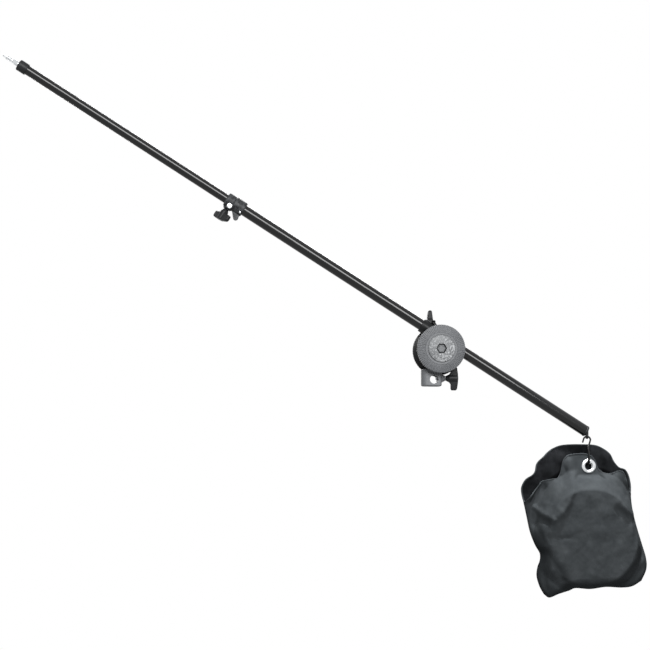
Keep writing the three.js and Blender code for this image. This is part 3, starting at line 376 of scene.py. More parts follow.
# How the ribs run out: along the face, past their start, and down the rim
ribEnds = {"run": 1.2, "inset": 0.5, "rimReach": 3.4, "slack": 0.2}


# Sinks every second pair of facets on the ribbed face, so the ribs keep straight flanks
def cutRibs(bm, disc, facets):
    outward = -1 if disc["face"] < disc["back"] else 1
    start = (disc["ribStart"] + ribEnds["inset"]) * mm
    depth = disc["ribDepth"] * mm
    edgeHeight = (disc["face"] - outward * ribEnds["rimReach"]) * mm
    for vert in bm.verts:
        radius = vert.co.xy.length
        turn = math.atan2(vert.co.y, vert.co.x) / (2 * math.pi) * facets
        inGroove = round(turn) % 4 in (1, 2)
        onRim = radius > (disc["radius"] - ribEnds["slack"]) * mm
        onFace = outward * (vert.co.z - edgeHeight) > 0
        if not inGroove or radius < start:
            continue
        if onFace:
            vert.co.z -= outward * depth
        if onRim:
            vert.co.xy *= 1 - depth / radius


def ribbed(profile, disc):
    facets = disc["ribs"] * 4
    bm = spun(profile, facets, ring=True)
    cutRibs(bm, disc, facets)
    return bm


def buildFrontDisc():
    d = frontDisc
    face, back, radius, bevel, lip = (d[k] for k in ("face", "back", "radius", "bevel", "lip"))
    bore, pocket, groove = d["bore"], d["pocket"], d["groove"]
    rimCut, backBevel = face + d["rimCut"], d["backBevel"]
    profile = [
        (bore, back), (bore, d["pocketFloor"]), (pocket, d["pocketFloor"]),
        (pocket, d["grooveFloor"]), (groove, d["grooveFloor"]), (groove, face + lip),
        (groove + lip, face), (d["ribStart"], face), (d["ribStart"] + ribEnds["run"], face),
        (radius - bevel, face), (radius - bevel * 0.3, face + bevel * 0.35),
        (radius, face + bevel), (radius, rimCut), (radius, rimCut + d["rimFade"]),
        (radius, back - backBevel), (radius - lip, back - lip), (radius - backBevel, back),
    ]
    return ribbed(profile, d)


def buildRearDisc():
    d = rearDisc
    face, back, radius, bevel = d["face"], d["back"], d["radius"], d["bevel"]
    bore, pocket, ribStart = d["bore"], d["pocket"], d["ribStart"]
    floor = face - d["pocketDepth"]
    profile = [
        (bore, back), (radius - bevel, back), (radius - bevel * 0.3, back + bevel * 0.3),
        (radius, back + bevel), (radius, face - d["rimCut"]), (radius, face - bevel),
        (radius - bevel * 0.3, face - bevel * 0.3), (radius - bevel, face),
        (ribStart + ribEnds["run"], face), (ribStart, face), (pocket, face),
        (pocket - d["lip"], face - d["lip"]), (pocket - d["pocketDepth"], floor), (bore, floor),
    ]
    return ribbed(profile, d)


addPiece(
    buildFrontDisc(), "ribbedFrontDisc", pivotLine, greyCast, "head",
    ["head_casting"], 32,
)
addPiece(
    buildRearDisc(), "ribbedRearDisc", pivotLine, blackPaint, "head",
    ["rear_disc"], 32,
)


# Receiver block and neck: the casting behind the disc, cut free and rounded as it left its die
receiver = {"cut": -20.9, "overlap": 1.2, "voxel": 0.5, "passes": 5}


def buildReceiver():
    bm = nodeCopy("head_casting")
    cutPlace = receiver["cut"] * mm
    bmesh.ops.bisect_plane(
        bm, geom=bm.verts[:] + bm.edges[:] + bm.faces[:], dist=1e-7,
        plane_co=(0, cutPlace, 0), plane_no=(0, -1, 0), clear_outer=True,
    )
    rim = [edge for edge in bm.edges if edge.is_boundary]
    bmesh.ops.holes_fill(bm, edges=rim, sides=0)
    for vert in bm.verts:
        if abs(vert.co.y - cutPlace) < 1e-6:
            vert.co.y -= receiver["overlap"] * mm
    bmesh.ops.recalc_face_normals(bm, faces=bm.faces)
    return bm


addMoulding(
    buildReceiver(), "receiverBlock", greyCast, "head", ["head_casting"],
    receiver["voxel"], receiver["passes"],
)


# Turns the round rings between two radii into hexagons with the same corners
def shapeHexagon(bm, least, most):
    for vert in bm.verts:
        if least < vert.co.xy.length / mm < most:
            sector = math.atan2(vert.co.y, vert.co.x) % (math.pi / 3) - math.pi / 6
            vert.co.xy *= math.cos(math.pi / 6) / math.cos(sector)


facePlate = {
    "radius": 26.5, "front": -37.3, "back": -33.9, "edge": 0.9, "hexCorner": 10.7,
    "hexEdge": 0.35, "hexLimit": 12,
}
boltHead = {
    "corner": 9.8, "crown": 7.6, "chamfer": 2.4, "front": -35.4, "back": -29.2, "dish": 0.5,
    "dishFloor": 5.2, "dishRim": 5.8, "hexLimit": 7, "shank": 5.0, "shankEnd": 45.0,
}


def buildFacePlate():
    d = facePlate
    radius, front, back, edge = d["radius"], d["front"], d["back"], d["edge"]
    corner, hexEdge = d["hexCorner"], d["hexEdge"]
    profile = [
        (corner, back), (corner, front + hexEdge), (corner + hexEdge, front),
        (radius - edge, front), (radius - edge * 0.3, front + edge * 0.3),
        (radius, front + edge), (radius, back),
    ]
    bm = spun(profile, 144, ring=True)
    shapeHexagon(bm, 0, d["hexLimit"])
    return bm


def buildBolt():
    d = boltHead
    front, back, corner, shank = d["front"], d["back"], d["corner"], d["shank"]
    floor, end = front + d["dish"], d["shankEnd"]
    profile = [
        (0, floor), (d["dishFloor"], floor), (d["dishRim"], front), (d["crown"], front),
        (corner, front + d["chamfer"]), (corner, back), (shank, back), (shank, end), (0, end),
    ]
    bm = spun(profile, 96)
    shapeHexagon(bm, d["hexLimit"], math.inf)
    return bm


# A washer or a cut length of tube, with its outer edges broken
sleeves = {
    "rearWasher": {"bore": 5.3, "radius": 13, "start": 25.8, "end": 28, "edge": 0.4},
    "clampWasher": {"bore": 2.8, "radius": 5.2, "start": -1.5, "end": -0.3, "edge": 0.3},
    "outerTube": {"bore": 9.8, "radius": 11, "start": -503.0, "end": 334.5, "edge": 0.25},
    "innerTube": {"bore": 8.3, "radius": 9.5, "start": -1005.5, "end": -355, "edge": 0.25},
}


def addSleeve(name, place, material, body, nodeName, facets=96):
    d = sleeves[name]
    bore, radius, start, end, edge = (d[k] for k in ("bore", "radius", "start", "end", "edge"))
    profile = [
        (bore, start), (radius - edge, start), (radius, start + edge), (radius, end - edge),
        (radius - edge, end), (bore, end),
    ]
    addPiece(spun(profile, facets, True), name, place, material, body, [nodeName])


addPiece(
    buildFacePlate(), "hexFacePlate", pivotLine, palePlate, "head",
    ["disc_face_plate"], 30,
)
addPiece(
    buildBolt(), "hexPivotBolt", pivotLine, darkSteel, "head", ["pivot_bolt"], 30
)
addSleeve("rearWasher", pivotLine, zincPlate, "head", "rear_washer")
print("head made")


# Clamp, collar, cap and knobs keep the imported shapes, with cast and moulded edges
castings = {
    "clampCasting": ("clamp_casting", blackPaint, "clamp", "black_cast", 0.7, 4),
    "collarCasting": ("collar", collarPaint, "boom", "collar_cast", 0.45, 5),
    "rearCapMoulding": ("rear_cap", knobPlastic, "boom", "black_plastic", 0.4, 4),
}
# Each knob's node, which is its body too, its seat and the way its screw points
knobs = {
    "tiltKnob": ("tilt_knob", (11.9, 30, 72.8), (0, 1, 0)),
    "standKnob": ("stand_knob", (24.7, 0, 16), (1, 0, 0)),
    "clampKnob": ("clamp_knob", (0.774, 28.6, 126.683), (0, 1, 0)),
    "collarKnob": ("collar_knob", (-413.953, 0, 350.568), (-0.53656, 0, -0.84386)),
}
knobEdges = {"voxel": 0.45, "passes": 8}
clampEar = {
    "along": -38.3, "aside": 28.6, "height": 39.5, "reach": 6.4, "lowest": 37.0, "slim": 0.5,
}
wingTaper = {"start": 9.0, "end": 30.0, "thin": 0.42, "power": 1.5}


# A knob's wings thin out towards their tips. They lie along the direction it is longest in.
def taperWings(bm, seat, axis):
    seat = Vector(seat) * mm
    axis = Vector(axis)
    first = axis.orthogonal().normalized()
    second = axis.cross(first)
    flat = [((v.co - seat).dot(first), (v.co - seat).dot(second)) for v in bm.verts]
    xx = sum(x * x for x, y in flat)
    yy = sum(y * y for x, y in flat)
    xy = sum(x * y for x, y in flat)
    turn = 0.5 * math.atan2(2 * xy, xx - yy)
    span = first * math.cos(turn) + second * math.sin(turn)
    thick = axis.cross(span)
    for vert in bm.verts:
        reach = abs((vert.co - seat).dot(span)) / mm
        share = (reach - wingTaper["start"]) / (wingTaper["end"] - wingTaper["start"])
        shrink = wingTaper["thin"] * min(max(share, 0), 1) ** wingTaper["power"]
        vert.co -= thick * (vert.co - seat).dot(thick) * shrink


# The clamp's ear is slimmer on the side away from the knob's wing
def slimEar(bm):
    e = clampEar
    toBoom = boomPlace.inverted()
    for vert in bm.verts:
        local = toBoom @ vert.co / mm
        aside = local.x - e["along"]
        if aside > 0 and local.z > e["lowest"]:
            if math.hypot(aside, local.z - e["height"]) < e["reach"]:
                local.x = e["along"] + aside * e["slim"]
                vert.co = boomPlace @ (local * mm)


for name, (nodeName, material, body, slot, voxel, passes) in castings.items():
    bm = nodeCopy(nodeName)
    if name == "clampCasting":
        slimEar(bm)
    addMoulding(bm, name, material, body, [nodeName], voxel, passes)
    print(name, "made")
for name, (nodeName, seat, axis) in knobs.items():
    bm = nodeCopy(nodeName)
    bmesh.ops.subdivide_edges(bm, edges=bm.edges, cuts=2)
    taperWings(bm, seat, axis)
    addMoulding(
        bm, name, knobPlastic, nodeName, [nodeName], knobEdges["voxel"],
        knobEdges["passes"],
    )
    print(name, "made")


# Thread: a spun bar whose radius follows the helix, fading at both ends. The slack is how far
# a corner may lie off its radius or before the start.
threadSlack = {"radius": 0.1, "start": 0.01}


def cutThread(bm, size, start, end, pitch, depth):
    start -= threadSlack["start"]
    for vert in bm.verts:
        radius, height = vert.co.xy.length / mm, vert.co.z / mm
        if abs(radius - size) < threadSlack["radius"] and start < height < end:
            turn = math.atan2(vert.co.y, vert.co.x) / (2 * math.pi)
            phase = (height / pitch - turn) % 1
            fade = min(1, (height - start) / pitch, (end - height) / pitch)
            vert.co.xy *= 1 - depth * fade * abs(2 * phase - 1) / radius


def steps(start, end, count):
    return [start + (end - start) * i / count for i in range(count + 1)]


stud = {
    "base": 5.0, "baseEnd": -1023.6, "waist": 3.4, "waistEnd": -1026.2,
    "thread": 4.76, "threadEnd": -1038.2, "tip": 3.18, "tipEnd": -1046.0, "bevel": 0.6,
    "pitch": 1.59, "threadDepth": 0.7, "tipPitch": 1.27, "tipThreadDepth": 0.5, "undercut": 0.3,
    "runout": 1.2, "plugEnd": -1004.0,
}


def buildStud():
    d = stud
    bevel, base, waist, thread, tip = (d[k] for k in ("bevel", "base", "waist", "thread", "tip"))
    neck = tip - d["undercut"]
    tipThread = (d["tipEnd"] + bevel, d["threadEnd"] - d["runout"])
    mainThread = (d["threadEnd"] + bevel, d["waistEnd"] - d["undercut"])
    profile = [(0, d["tipEnd"]), (tip - bevel, d["tipEnd"])]
    profile += [(tip, height) for height in steps(*tipThread, 24)]
    profile += [(neck, d["threadEnd"] - 1.0), (neck, d["threadEnd"])]
    profile += [(thread - bevel, d["threadEnd"])]
    profile += [(thread, height) for height in steps(*mainThread, 32)]
    profile += [
        (thread - 0.4, d["waistEnd"]), (waist, d["waistEnd"]), (waist, d["baseEnd"]),
        (base - 0.5, d["baseEnd"]), (base, d["baseEnd"] + 0.5), (base, d["plugEnd"]),
        (0, d["plugEnd"]),
    ]
    bm = spun(profile, 64)
    cutThread(bm, tip, *tipThread, d["tipPitch"], d["tipThreadDepth"])
    cutThread(bm, thread, mainThread[0], d["waistEnd"] - 0.2, d["pitch"], d["threadDepth"])
    return bm


addPiece(
    buildStud(), "lampStud", tubeLine, chromePlate, "inner_boom", ["tip_stud"], 50
)


# Tubes, and the moulded cap at the tip
addSleeve("outerTube", tubeLine, tubeBlack, "boom", "outer_tube")
addSleeve("innerTube", tubeLine, tubeBlack, "inner_boom", "inner_tube")
tipCapProfile = [
    (5.3, -1010.4), (9.4, -1010.4), (10.5, -1010.0), (11.2, -1009.2), (11.4, -1008.2),
    (11.4, -990.5), (11.1, -990.0), (9.8, -990.0), (9.8, -1005.8), (5.3, -1005.8),
]
addPiece(
    spun(tipCapProfile, 96, True), "tipCap", tubeLine, knobPlastic, "inner_boom",
    ["tip_cap"], 50,
)


# Cap screw in the collar's side, with its hexagon socket, and the small rivet beside it
sideScrew = {
    "along": -506.5, "height": 12.5, "back": -13.6, "head": 5.3, "tall": 3.4, "edge": 1.1,
    "socket": 2.6, "socketDepth": 1.9, "shank": 2.0, "shankLength": 3.6, "slack": 0.1,
}
rivet = {
    "along": -482.5, "height": 14.0, "back": -10.0, "tall": 2.6,
    "dome": [(0, 0), (0.9, 0.1), (1.8, 0.5), (2.4, 1.1), (2.6, 1.7)],
}


def buildSideScrew():
    d = sideScrew
    back, head, edge, shank = d["back"], d["head"], d["edge"], d["shank"]
    front, socket = back - d["tall"], d["socket"]
    floor, shankEnd = front + d["socketDepth"], back + d["shankLength"]
    profile = [
        (0, floor), (socket, floor), (socket, front), (head - edge, front),
        (head - 0.35, front + 0.35), (head, front + edge), (head, back), (shank, back),
        (shank, shankEnd), (0, shankEnd),
    ]
    bm = spun(profile, 72)
    shapeHexagon(bm, socket - d["slack"], socket + d["slack"])
    return bm


addPiece(
    buildSideScrew(), "collarSideScrew",
    boomPlace @ shift(sideScrew["along"], 0, sideScrew["height"]) @ towardsY,
    chromePlate, "boom", ["collar_side_screw"], 35,
)
rivetTop = rivet["back"] - rivet["tall"]
rivetProfile = [(radius, rivetTop + rise) for radius, rise in rivet["dome"]]
rivetProfile += [(rivet["dome"][-1][0], rivet["back"]), (0, rivet["back"])]
addPiece(
    spun(rivetProfile, 48), "collarRivet",
    boomPlace @ shift(rivet["along"], 0, rivet["height"]) @ towardsY,
    chromePlate, "boom", (), 60,
)


# Threaded screw that shows in the gap under the collar
collarScrew = {
    "seat": (-508.4, 0, 5.9), "radius": 3.0, "start": -6.8, "end": 8.0, "pitch": 1.0,
    "depthShare": 0.16, "edge": 0.5,
}


def buildScrew():
    d = collarScrew
    radius, start, end, pitch = d["radius"], d["start"], d["end"], d["pitch"]
    profile = [(0, start), (radius - d["edge"], start)]
    count = int((end - start) / pitch * 4)
    profile += [(radius, height) for height in steps(start + d["edge"], end, count)]
    profile += [(0, end)]
    bm = spun(profile, 40)
    cutThread(bm, radius, start + d["edge"], end, pitch, radius * d["depthShare"])
    return bm


collarKnobSeat = boomPlace @ shift(*collarScrew["seat"]) @ Matrix.Rotation(math.pi, 4, "X")
addPiece(
    buildScrew(), "collarKnobScrew", collarKnobSeat, zincPlate, "collar_knob",
    ["collar_knob_screw"], 60,
)
earSeat = shift(clampEar["along"], clampEar["aside"], clampEar["height"])
clampScrewPlace = boomPlace @ earSeat @ towardsY
addSleeve("clampWasher", clampScrewPlace, zincPlate, "clamp", "clamp_washer", 48)
# Round nut pressed into the ear, as slim as the ear itself
nutProfile = [(2.55, -35.1), (2.7, -34.9), (2.7, -31.9), (2.55, -31.7)]
addPiece(
    spun(nutProfile, 48, True), "clampNut", clampScrewPlace, blackWire, "clamp",
    ["clamp_nut"],
)
print("boom made")


# Hook: one bent wire, its ends rounded over

hookWire = {
    "wire": 1.7, "loop": 7.0, "loopArc": 72.0, "tail": 6.5, "bend": 11.0, "bendDrop": 49.4,
    "side": 1.8, "neckDrop": 13.5, "tipRise": 3.0, "steps": 14,
}


def hookRoute():
    d = hookWire
    loop, side, bend, tail = d["loop"], d["side"], d["bend"], d["tail"]
    start = quarterTurn + math.radians(d["loopArc"])
    cosine, sine = math.cos(start), math.sin(start)
    points = [(loop * cosine - tail * sine, 0, loop * sine + tail * cosine)]
    for angle in steps(start, 0, d["steps"]):
        points.append((loop * math.cos(angle), 0, loop * math.sin(angle)))
    bendCentre = bend - d["bendDrop"]
    points.append(((loop + side) / 2, 0, -d["neckDrop"] / 2 - d["wire"]))
    points.append((side, -bend / 4, -d["neckDrop"]))
    points.append((side, -bend * 0.8, (bendCentre - d["neckDrop"]) / 2))
    for angle in steps(math.pi, 2 * math.pi, d["steps"]):
        points.append((side, bend * math.cos(angle), bendCentre + bend * math.sin(angle)))
    points.append((side, bend, bendCentre + d["tipRise"]))
    return [Vector(point) for point in points]


# Points along a smooth curve through the given ones, so a few places are enough
def smoothLine(points, perStep):
    padded = [points[0] * 2 - points[1]] + points + [points[-1] * 2 - points[-2]]
    line = []
    for i in range(1, len(padded) - 2):
        p0, p1, p2, p3 = padded[i - 1 : i + 3]
        for k in range(perStep):
            t = k / perStep
            bend = 2 * p0 - 5 * p1 + 4 * p2 - p3
            swing = 3 * p1 - p0 - 3 * p2 + p3
            line.append(0.5 * (2 * p1 + (p2 - p0) * t + bend * t * t + swing * t * t * t))
    line.append(points[-1])
    return line


def sweptWire(line, radius, facets=20):
    bm = bmesh.new()
    rings = []
    count = len(line)
    side = Vector((0, 1, 0))
    capAngles = [math.radians(a) for a in (15, 35, 55, 75)]
    for i, point in enumerate(line):
        ahead = (line[min(i + 1, count - 1)] - line[max(i - 1, 0)]).normalized()
        side = (side - ahead * side.dot(ahead)).normalized()
        across = ahead.cross(side)
        ends = []
        if i == 0:
            ends = [(-radius * math.cos(a), radius * math.sin(a)) for a in capAngles]
        ends.append((0, radius))
        if i == count - 1:
            ends += [(radius * math.sin(a), radius * math.cos(a)) for a in capAngles]
        for forward, reach in ends:
            ring = []
            for k in range(facets):
                angle = 2 * math.pi * k / facets
                spoke = side * math.cos(angle) + across * math.sin(angle)
                place = point + ahead * forward + spoke * reach
                ring.append(bm.verts.new(place * mm))
            rings.append(ring)
    for first, second in zip(rings, rings[1:]):
        for k in range(facets):
            after = (k + 1) % facets
            bm.faces.new((first[k], first[after], second[after], second[k]))
    bm.faces.new(rings[0])
    bm.faces.new(rings[-1])
    bmesh.ops.recalc_face_normals(bm, faces=bm.faces)
    return bm


addPiece(
    sweptWire(smoothLine(hookRoute(), 6), hookWire["wire"]), "hookWire", hookPlace, blackWire,
    "hook", ["s_hook"], 0,
)


# Grommets: rolled brass eyes under chrome, one through each panel of the bag

grommet = {"hole": 7.6, "radius": 14.5, "panel": 4.5, "half": 1.0, "flange": 1.25}


def buildGrommet():
    d = grommet
    hole, radius, half, top = d["hole"], d["radius"], d["half"], d["half"] + d["flange"]
    upper = [
        (radius, half * 0.8), (radius - 0.3, half + 0.5), (radius - 1.4, half + 0.9),
        (radius - 3.2, top), (hole + 1.9, top), (hole + 0.8, top - 0.35),
        (hole + 0.15, top - 1.0), (hole, half * 0.3),
    ]
    lower = [(r, -h) for r, h in reversed(upper)]
    return spun(upper + lower, 96, True)


for name, side in (("frontGrommet", -1), ("rearGrommet", 1)):
    place = shift(layout["hangX"], side * grommet["panel"], layout["grommetZ"]) @ towardsY
    addPiece(
        buildGrommet(), name, place, chromePlate, "bag",
        ["front_grommet" if side < 0 else "rear_grommet"], 60,
    )
print("hook and grommets made")


# Bag: an open pouch. Its outline is given round the mouth, down both side seams and along the
# bottom, in millimetres from the point it hangs under; a patch between these is then filled out.

bagShape = {
    "frontHem": [
        (-125.4, -125.5), (-112.1, -108.2), (-98.7, -92.2), (-92.9, -84.4), (-84.1, -81.5),
        (-72.1, -79.4), (-60.1, -77.4), (-53.1, -67.6), (-50.2, -54.9), (-46.6, -40.9),
        (-37.5, -31.6), (-21.5, -28.7), (-5.5, -28.2), (7.8, -31.5), (17.2, -42.2),
        (22.5, -56.9), (33.1, -66.4), (47.8, -67.9), (61.1, -63.4), (72.1, -64.2),
        (77.6, -76.2), (81.1, -91.2), (85.4, -103.2), (89.6, -108.2),
    ],
    "backHem": [
        (-125.4, -125.5), (-128.8, -109.5), (-129.4, -94.9), (-121.4, -80.2), (-108.1, -71.4),
        (-101.9, -62.9), (-98.2, -48.2), (-85.4, -34.9), (-70.8, -21.6), (-52.1, -12.8),
        (-32.1, -9.9), (-5.5, -9.6), (21.2, -10.9), (37.1, -17.6), (50.5, -28.8),
        (58.4, -44.2), (69.1, -55.7), (81.1, -59.7), (87.8, -70.9), (90.9, -85.5),
        (91.5, -97.5), (89.6, -108.2),
    ],
    "left": [
        (-125.4, -125.5), (-121.4, -148.1), (-114.7, -182.8), (-104.1, -209.4),
        (-94.4, -226.4), (-95.0, -239.7), (-100.4, -253.0), (-102.3, -270.7),
        (-96.5, -291.0), (-88.1, -306.0),
    ],
    "right": [
        (89.6, -108.2), (91.7, -129.5), (95.2, -150.8), (103.7, -182.8), (111.7, -209.4),
        (119.2, -236.1), (119.3, -257.4), (109.1, -280.0),
    ],
    "bottom": [
        (-88.1, -306.0), (-77.4, -312.6), (-58.8, -305.6), (-37.5, -299.0), (-24.1, -294.1),
        (5.2, -296.0), (37.1, -292.0), (69.1, -293.3), (90.4, -290.7), (109.1, -280.0),
    ],
    "columns": 120, "rows": 116, "cloth": 1.3, "edgeRound": 18, "edgePower": 1.6,
    "bottomRound": 20, "bottomPower": 2,
    "grommetCut": 9.4, "columnWidth": 2.1, "rowHeight": 2.3, "weaveGap": 400,
}
belly = {
    "x": -1.0, "z": -188.0, "halfWidth": 91.0, "halfHeight": 97.0, "power": 2.2, "start": 0.9,
    "fall": 0.44, "sideFall": 0.28, "lowerStart": 1.02, "lowerFall": 0.22, "lowerFloor": 0.3,
    "lowerEase": 0.3, "turnover": 30, "front": 43.0, "back": 37.0, "backDrop": 6,
    "backLift": 2.5,
}
tab = {"x": 4.3, "z": -52.3, "depth": 4.5, "half": 19, "bottom": -69, "fade": 15}
# The back panel leans away above the tab
lean = {"depth": 10, "above": 15, "fade": 40}
# Ripples of the cloth: their size and how far they stand out
ripple = {
    "broad": (26, 1.6), "crease": (15, 24, 0.9), "fine": (8, 0.35), "backShare": 1.3,
    "sideStep": 90.0, "creaseStep": 7.0,
}
# Upright pleats across the top of the back
pleats = {"across": 10, "up": 45, "height": 3.4, "from": -110, "fade": 40, "seed": 40.0}
# Where the mouth stands open beside the tab: x, z, spread and how far it stands out
gapes = [(-70, -84, 22, 8), (58, -74, 22, 9), (-116, -114, 12, 7), (86, -84, 10, 6)]
# Folds: a line of places, how far it stands out, and how wide it is
folds = [
    ([(-125, -124), (-112, -106), (-98, -88)], 7.0, 4.5),
    ([(-114, -130), (-103, -112), (-90, -94)], -9.0, 5.5),
    ([(-113, -130), (-97, -145), (-77, -160)], 5.0, 5.5),
    ([(-112, -143), (-98, -158), (-80, -173)], -3.5, 6.0),
    ([(53, -127), (68, -139), (84, -151)], 3.0, 5.0),
    ([(50, -140), (65, -152), (79, -165)], -2.5, 5.5),
    ([(-36, -44), (-34, -72), (-36, -96), (-48, -128), (-67, -153)], 5.0, 7.0),
    ([(-50, -62), (-54, -88), (-64, -112), (-78, -132)], -6.0, 8.0),
    ([(23, -62), (40, -92), (64, -126), (84, -146)], 4.0, 6.5),
    ([(42, -66), (54, -86), (74, -112)], -3.5, 5.0),
    ([(66, -64), (72, -84), (84, -116)], -3.0, 4.5),
    ([(-86, -128), (-72, -134), (-58, -150)], 2.0, 6.0),
    ([(-5, -118), (-7, -150), (-4, -200)], -1.4, 6.0),
    ([(56, -128), (52, -160), (55, -196)], -1.4, 6.0),
    ([(-86, -194), (-60, -196), (-42, -194)], -1.1, 5.0),
    ([(-110, -150), (-102, -176), (-93, -206)], -3.5, 5.0),
    ([(-92, -222), (-78, -244), (-56, -276)], -7.0, 7.0),
    ([(-86, -246), (-92, -272), (-88, -296)], -3.0, 5.0),
    ([(-84, -262), (-80, -284), (-66, -296)], 7.0, 10.0),
    ([(96, -178), (106, -216), (104, -258)], -4.0, 7.0),
    ([(70, -278), (92, -262), (108, -240)], 3.0, 6.0),
]


def smoothStep(value):
    value = min(max(value, 0.0), 1.0)
    return value * value * (3 - 2 * value)


# Points at equal distances along a smooth line through the given places
def evenly(points, count):
    line = smoothLine([Vector((x, 0, z)) for x, z in points], 12)
    lengths = [0.0]
    for first, second in zip(line, line[1:]):
        lengths.append(lengths[-1] + (second - first).length)
    even = []
    at = 0
    for i in range(count + 1):
        target = lengths[-1] * i / count
        while at < len(lengths) - 2 and lengths[at + 1] < target:
            at += 1
        span = lengths[at + 1] - lengths[at]
        even.append(line[at].lerp(line[at + 1], (target - lengths[at]) / span))
    return even


# A patch between four edges: each row and column blends the two edges it joins
def patch(top, bottom, left, right):
    columns, rows = len(top) - 1, len(left) - 1
    grid = []
    for r in range(rows + 1):
        t = r / rows
        row = []
        for c in range(columns + 1):
            s = c / columns
            corners = (top[0] * (1 - s) + top[-1] * s) * (1 - t)
            corners += (bottom[0] * (1 - s) + bottom[-1] * s) * t
            place = top[c] * (1 - t) + bottom[c] * t + left[r] * (1 - s) + right[r] * s
            row.append(place - corners)
        grid.append(row)
    return grid


def foldDepth(x, z):
    total = 0.0
    point = Vector((x, z))
    for line, height, width in folds:
        nearest = min(
            segmentDistance(point, Vector(a), Vector(b)) for a, b in zip(line, line[1:])
        )
        if nearest < width * 3:
            total += height * math.exp(-((nearest / width) ** 2))
    return total


def segmentDistance(point, start, end):
    span = end - start
    share = min(max((point - start).dot(span) / span.length_squared, 0.0), 1.0)
    return (point - start - span * share).length


def bellyShare(x, z):
    b = belly
    across = (abs(x - b["x"]) / b["halfWidth"]) ** b["power"]
    up = (abs(z - b["z"]) / b["halfHeight"]) ** b["power"]
    reach = (across + up) ** (1 / b["power"])
    sideways = across / (across + up + 1e-6)
    fall = b["fall"] * (1 - sideways) + b["sideFall"] * sideways
    upper = 1 - min(max((reach - b["start"]) / fall, 0.0), 1.0)
    sunk = min(max((reach - b["lowerStart"]) / b["lowerFall"], 0.0), 1.0)
    eased = b["lowerEase"] * smoothStep(sunk) + (1 - b["lowerEase"]) * sunk
    lower = 1 - (1 - b["lowerFloor"]) * eased
    mix = smoothStep((b["z"] - z + b["turnover"]) / (2 * b["turnover"]))
    return upper * (1 - mix) + lower * mix


# 0 where the cloth is held flat between the flanges of a grommet, 1 away from them
def awayFromTab(x, z):
    aside = smoothStep((abs(x - tab["x"]) - tab["half"]) / tab["fade"])
    below = smoothStep((tab["bottom"] - z) / tab["fade"])
    return max(aside, below)


def wrinkle(x, z, side):
    place = Vector((x, side * ripple["sideStep"], z))
    broadSize, broadHeight = ripple["broad"]
    across, up, creaseHeight = ripple["crease"]
    fineSize, fineHeight = ripple["fine"]
    broad = noise.noise(place / broadSize)
    creasePlace = Vector((x / across, side * ripple["creaseStep"], z / up))
    crease = 1 - abs(noise.noise(creasePlace)) * 2
    fine = noise.noise(place / fineSize)
    return broadHeight * broad + creaseHeight * crease * abs(broad) + fineHeight * fine


def frontDepth(x, z):
    gap = belly["front"] * bellyShare(x, z)
    for gx, gz, width, height in gapes:
        gap += height * math.exp(-((x - gx) ** 2 + (z - gz) ** 2) / width**2)
    gap += foldDepth(x, z) + wrinkle(x, z, -1)
    return tab["depth"] + max(gap, 0.5) * awayFromTab(x, z)


def backDepth(x, z):
    p = pleats
    gap = belly["back"] * bellyShare(x, z - belly["backDrop"]) + belly["backLift"]
    gap += wrinkle(x, z, 1) * ripple["backShare"]
    pleat = noise.noise(Vector((x / p["across"], p["seed"], z / p["up"])))
    gap += p["height"] * pleat * smoothStep((z - p["from"]) / p["fade"])
    return tab["depth"] + max(gap, 0.5) * awayFromTab(x, z)


def backLean(z):
    return lean["depth"] * smoothStep((z - tab["z"] - lean["above"]) / lean["fade"])


# Full depth inside the bag, closing in a round edge towards the seams
def edgeShare(away, reach, power):
    near = min(max(1 - away / reach, 0.0), 1.0)
    return (1 - near**power) ** (1 / power)


def bagSide(hem, side):
    b = bagShape
    columns, rows = b["columns"], b["rows"]
    edges = [evenly(b[line], columns) for line in (hem, "bottom")]
    edges += [evenly(b[line], rows) for line in ("left", "right")]
    grid = patch(*edges)
    bottomLine = grid[-1]
    for r, row in enumerate(grid):
        ends = (row[0].copy(), row[-1].copy())
        for c, place in enumerate(row):
            x, z = place.x, place.z
            closing = 1.0 if r < rows else 0.0
            for end in ends:
                closing *= edgeShare((place - end).length, b["edgeRound"], b["edgePower"])
            below = (place - bottomLine[c]).length
            closing *= edgeShare(below, b["bottomRound"], b["bottomPower"])
            if side < 0:
                place.y = -frontDepth(x, z) * closing
            else:
                place.y = backDepth(x, z) * closing + backLean(z)
    return grid


frontGrid = bagSide("frontHem", -1)
backGrid = bagSide("backHem", 1)


# A flat grid bent to the given places. It returns the row and column of each corner.
def bentGrid(bm, places):
    rows, columns = len(places) - 1, len(places[0]) - 1
    made = bmesh.ops.create_grid(bm, x_segments=columns, y_segments=rows, size=0.5)["verts"]
    spots = {v: (round((v.co.y + 0.5) * rows), round((v.co.x + 0.5) * columns)) for v in made}
    for vert, (r, c) in spots.items():
        vert.co = places[r][c] * mm
    return spots


def buildBag():
    b = bagShape
    bm = bmesh.new()
    uvLayer = bm.loops.layers.uv.new("weave")
    for side, grid in ((-1, frontGrid), (1, backGrid)):
        for vert, (r, c) in bentGrid(bm, grid).items():
            across = side * (c * b["columnWidth"] + b["weaveGap"])
            for loop in vert.link_loops:
                loop[uvLayer].uv = (across, r * b["rowHeight"])
    hole = []
    for face in bm.faces:
        middle = (face.verts[0].co + face.verts[2].co) / 2 / mm
        if math.hypot(middle.x - tab["x"], middle.z - tab["z"]) < b["grommetCut"]:
            hole.append(face)
    bmesh.ops.delete(bm, geom=hole, context="FACES")
    bmesh.ops.remove_doubles(bm, verts=bm.verts, dist=2e-5)
    bmesh.ops.recalc_face_normals(bm, faces=bm.faces)
    return bm


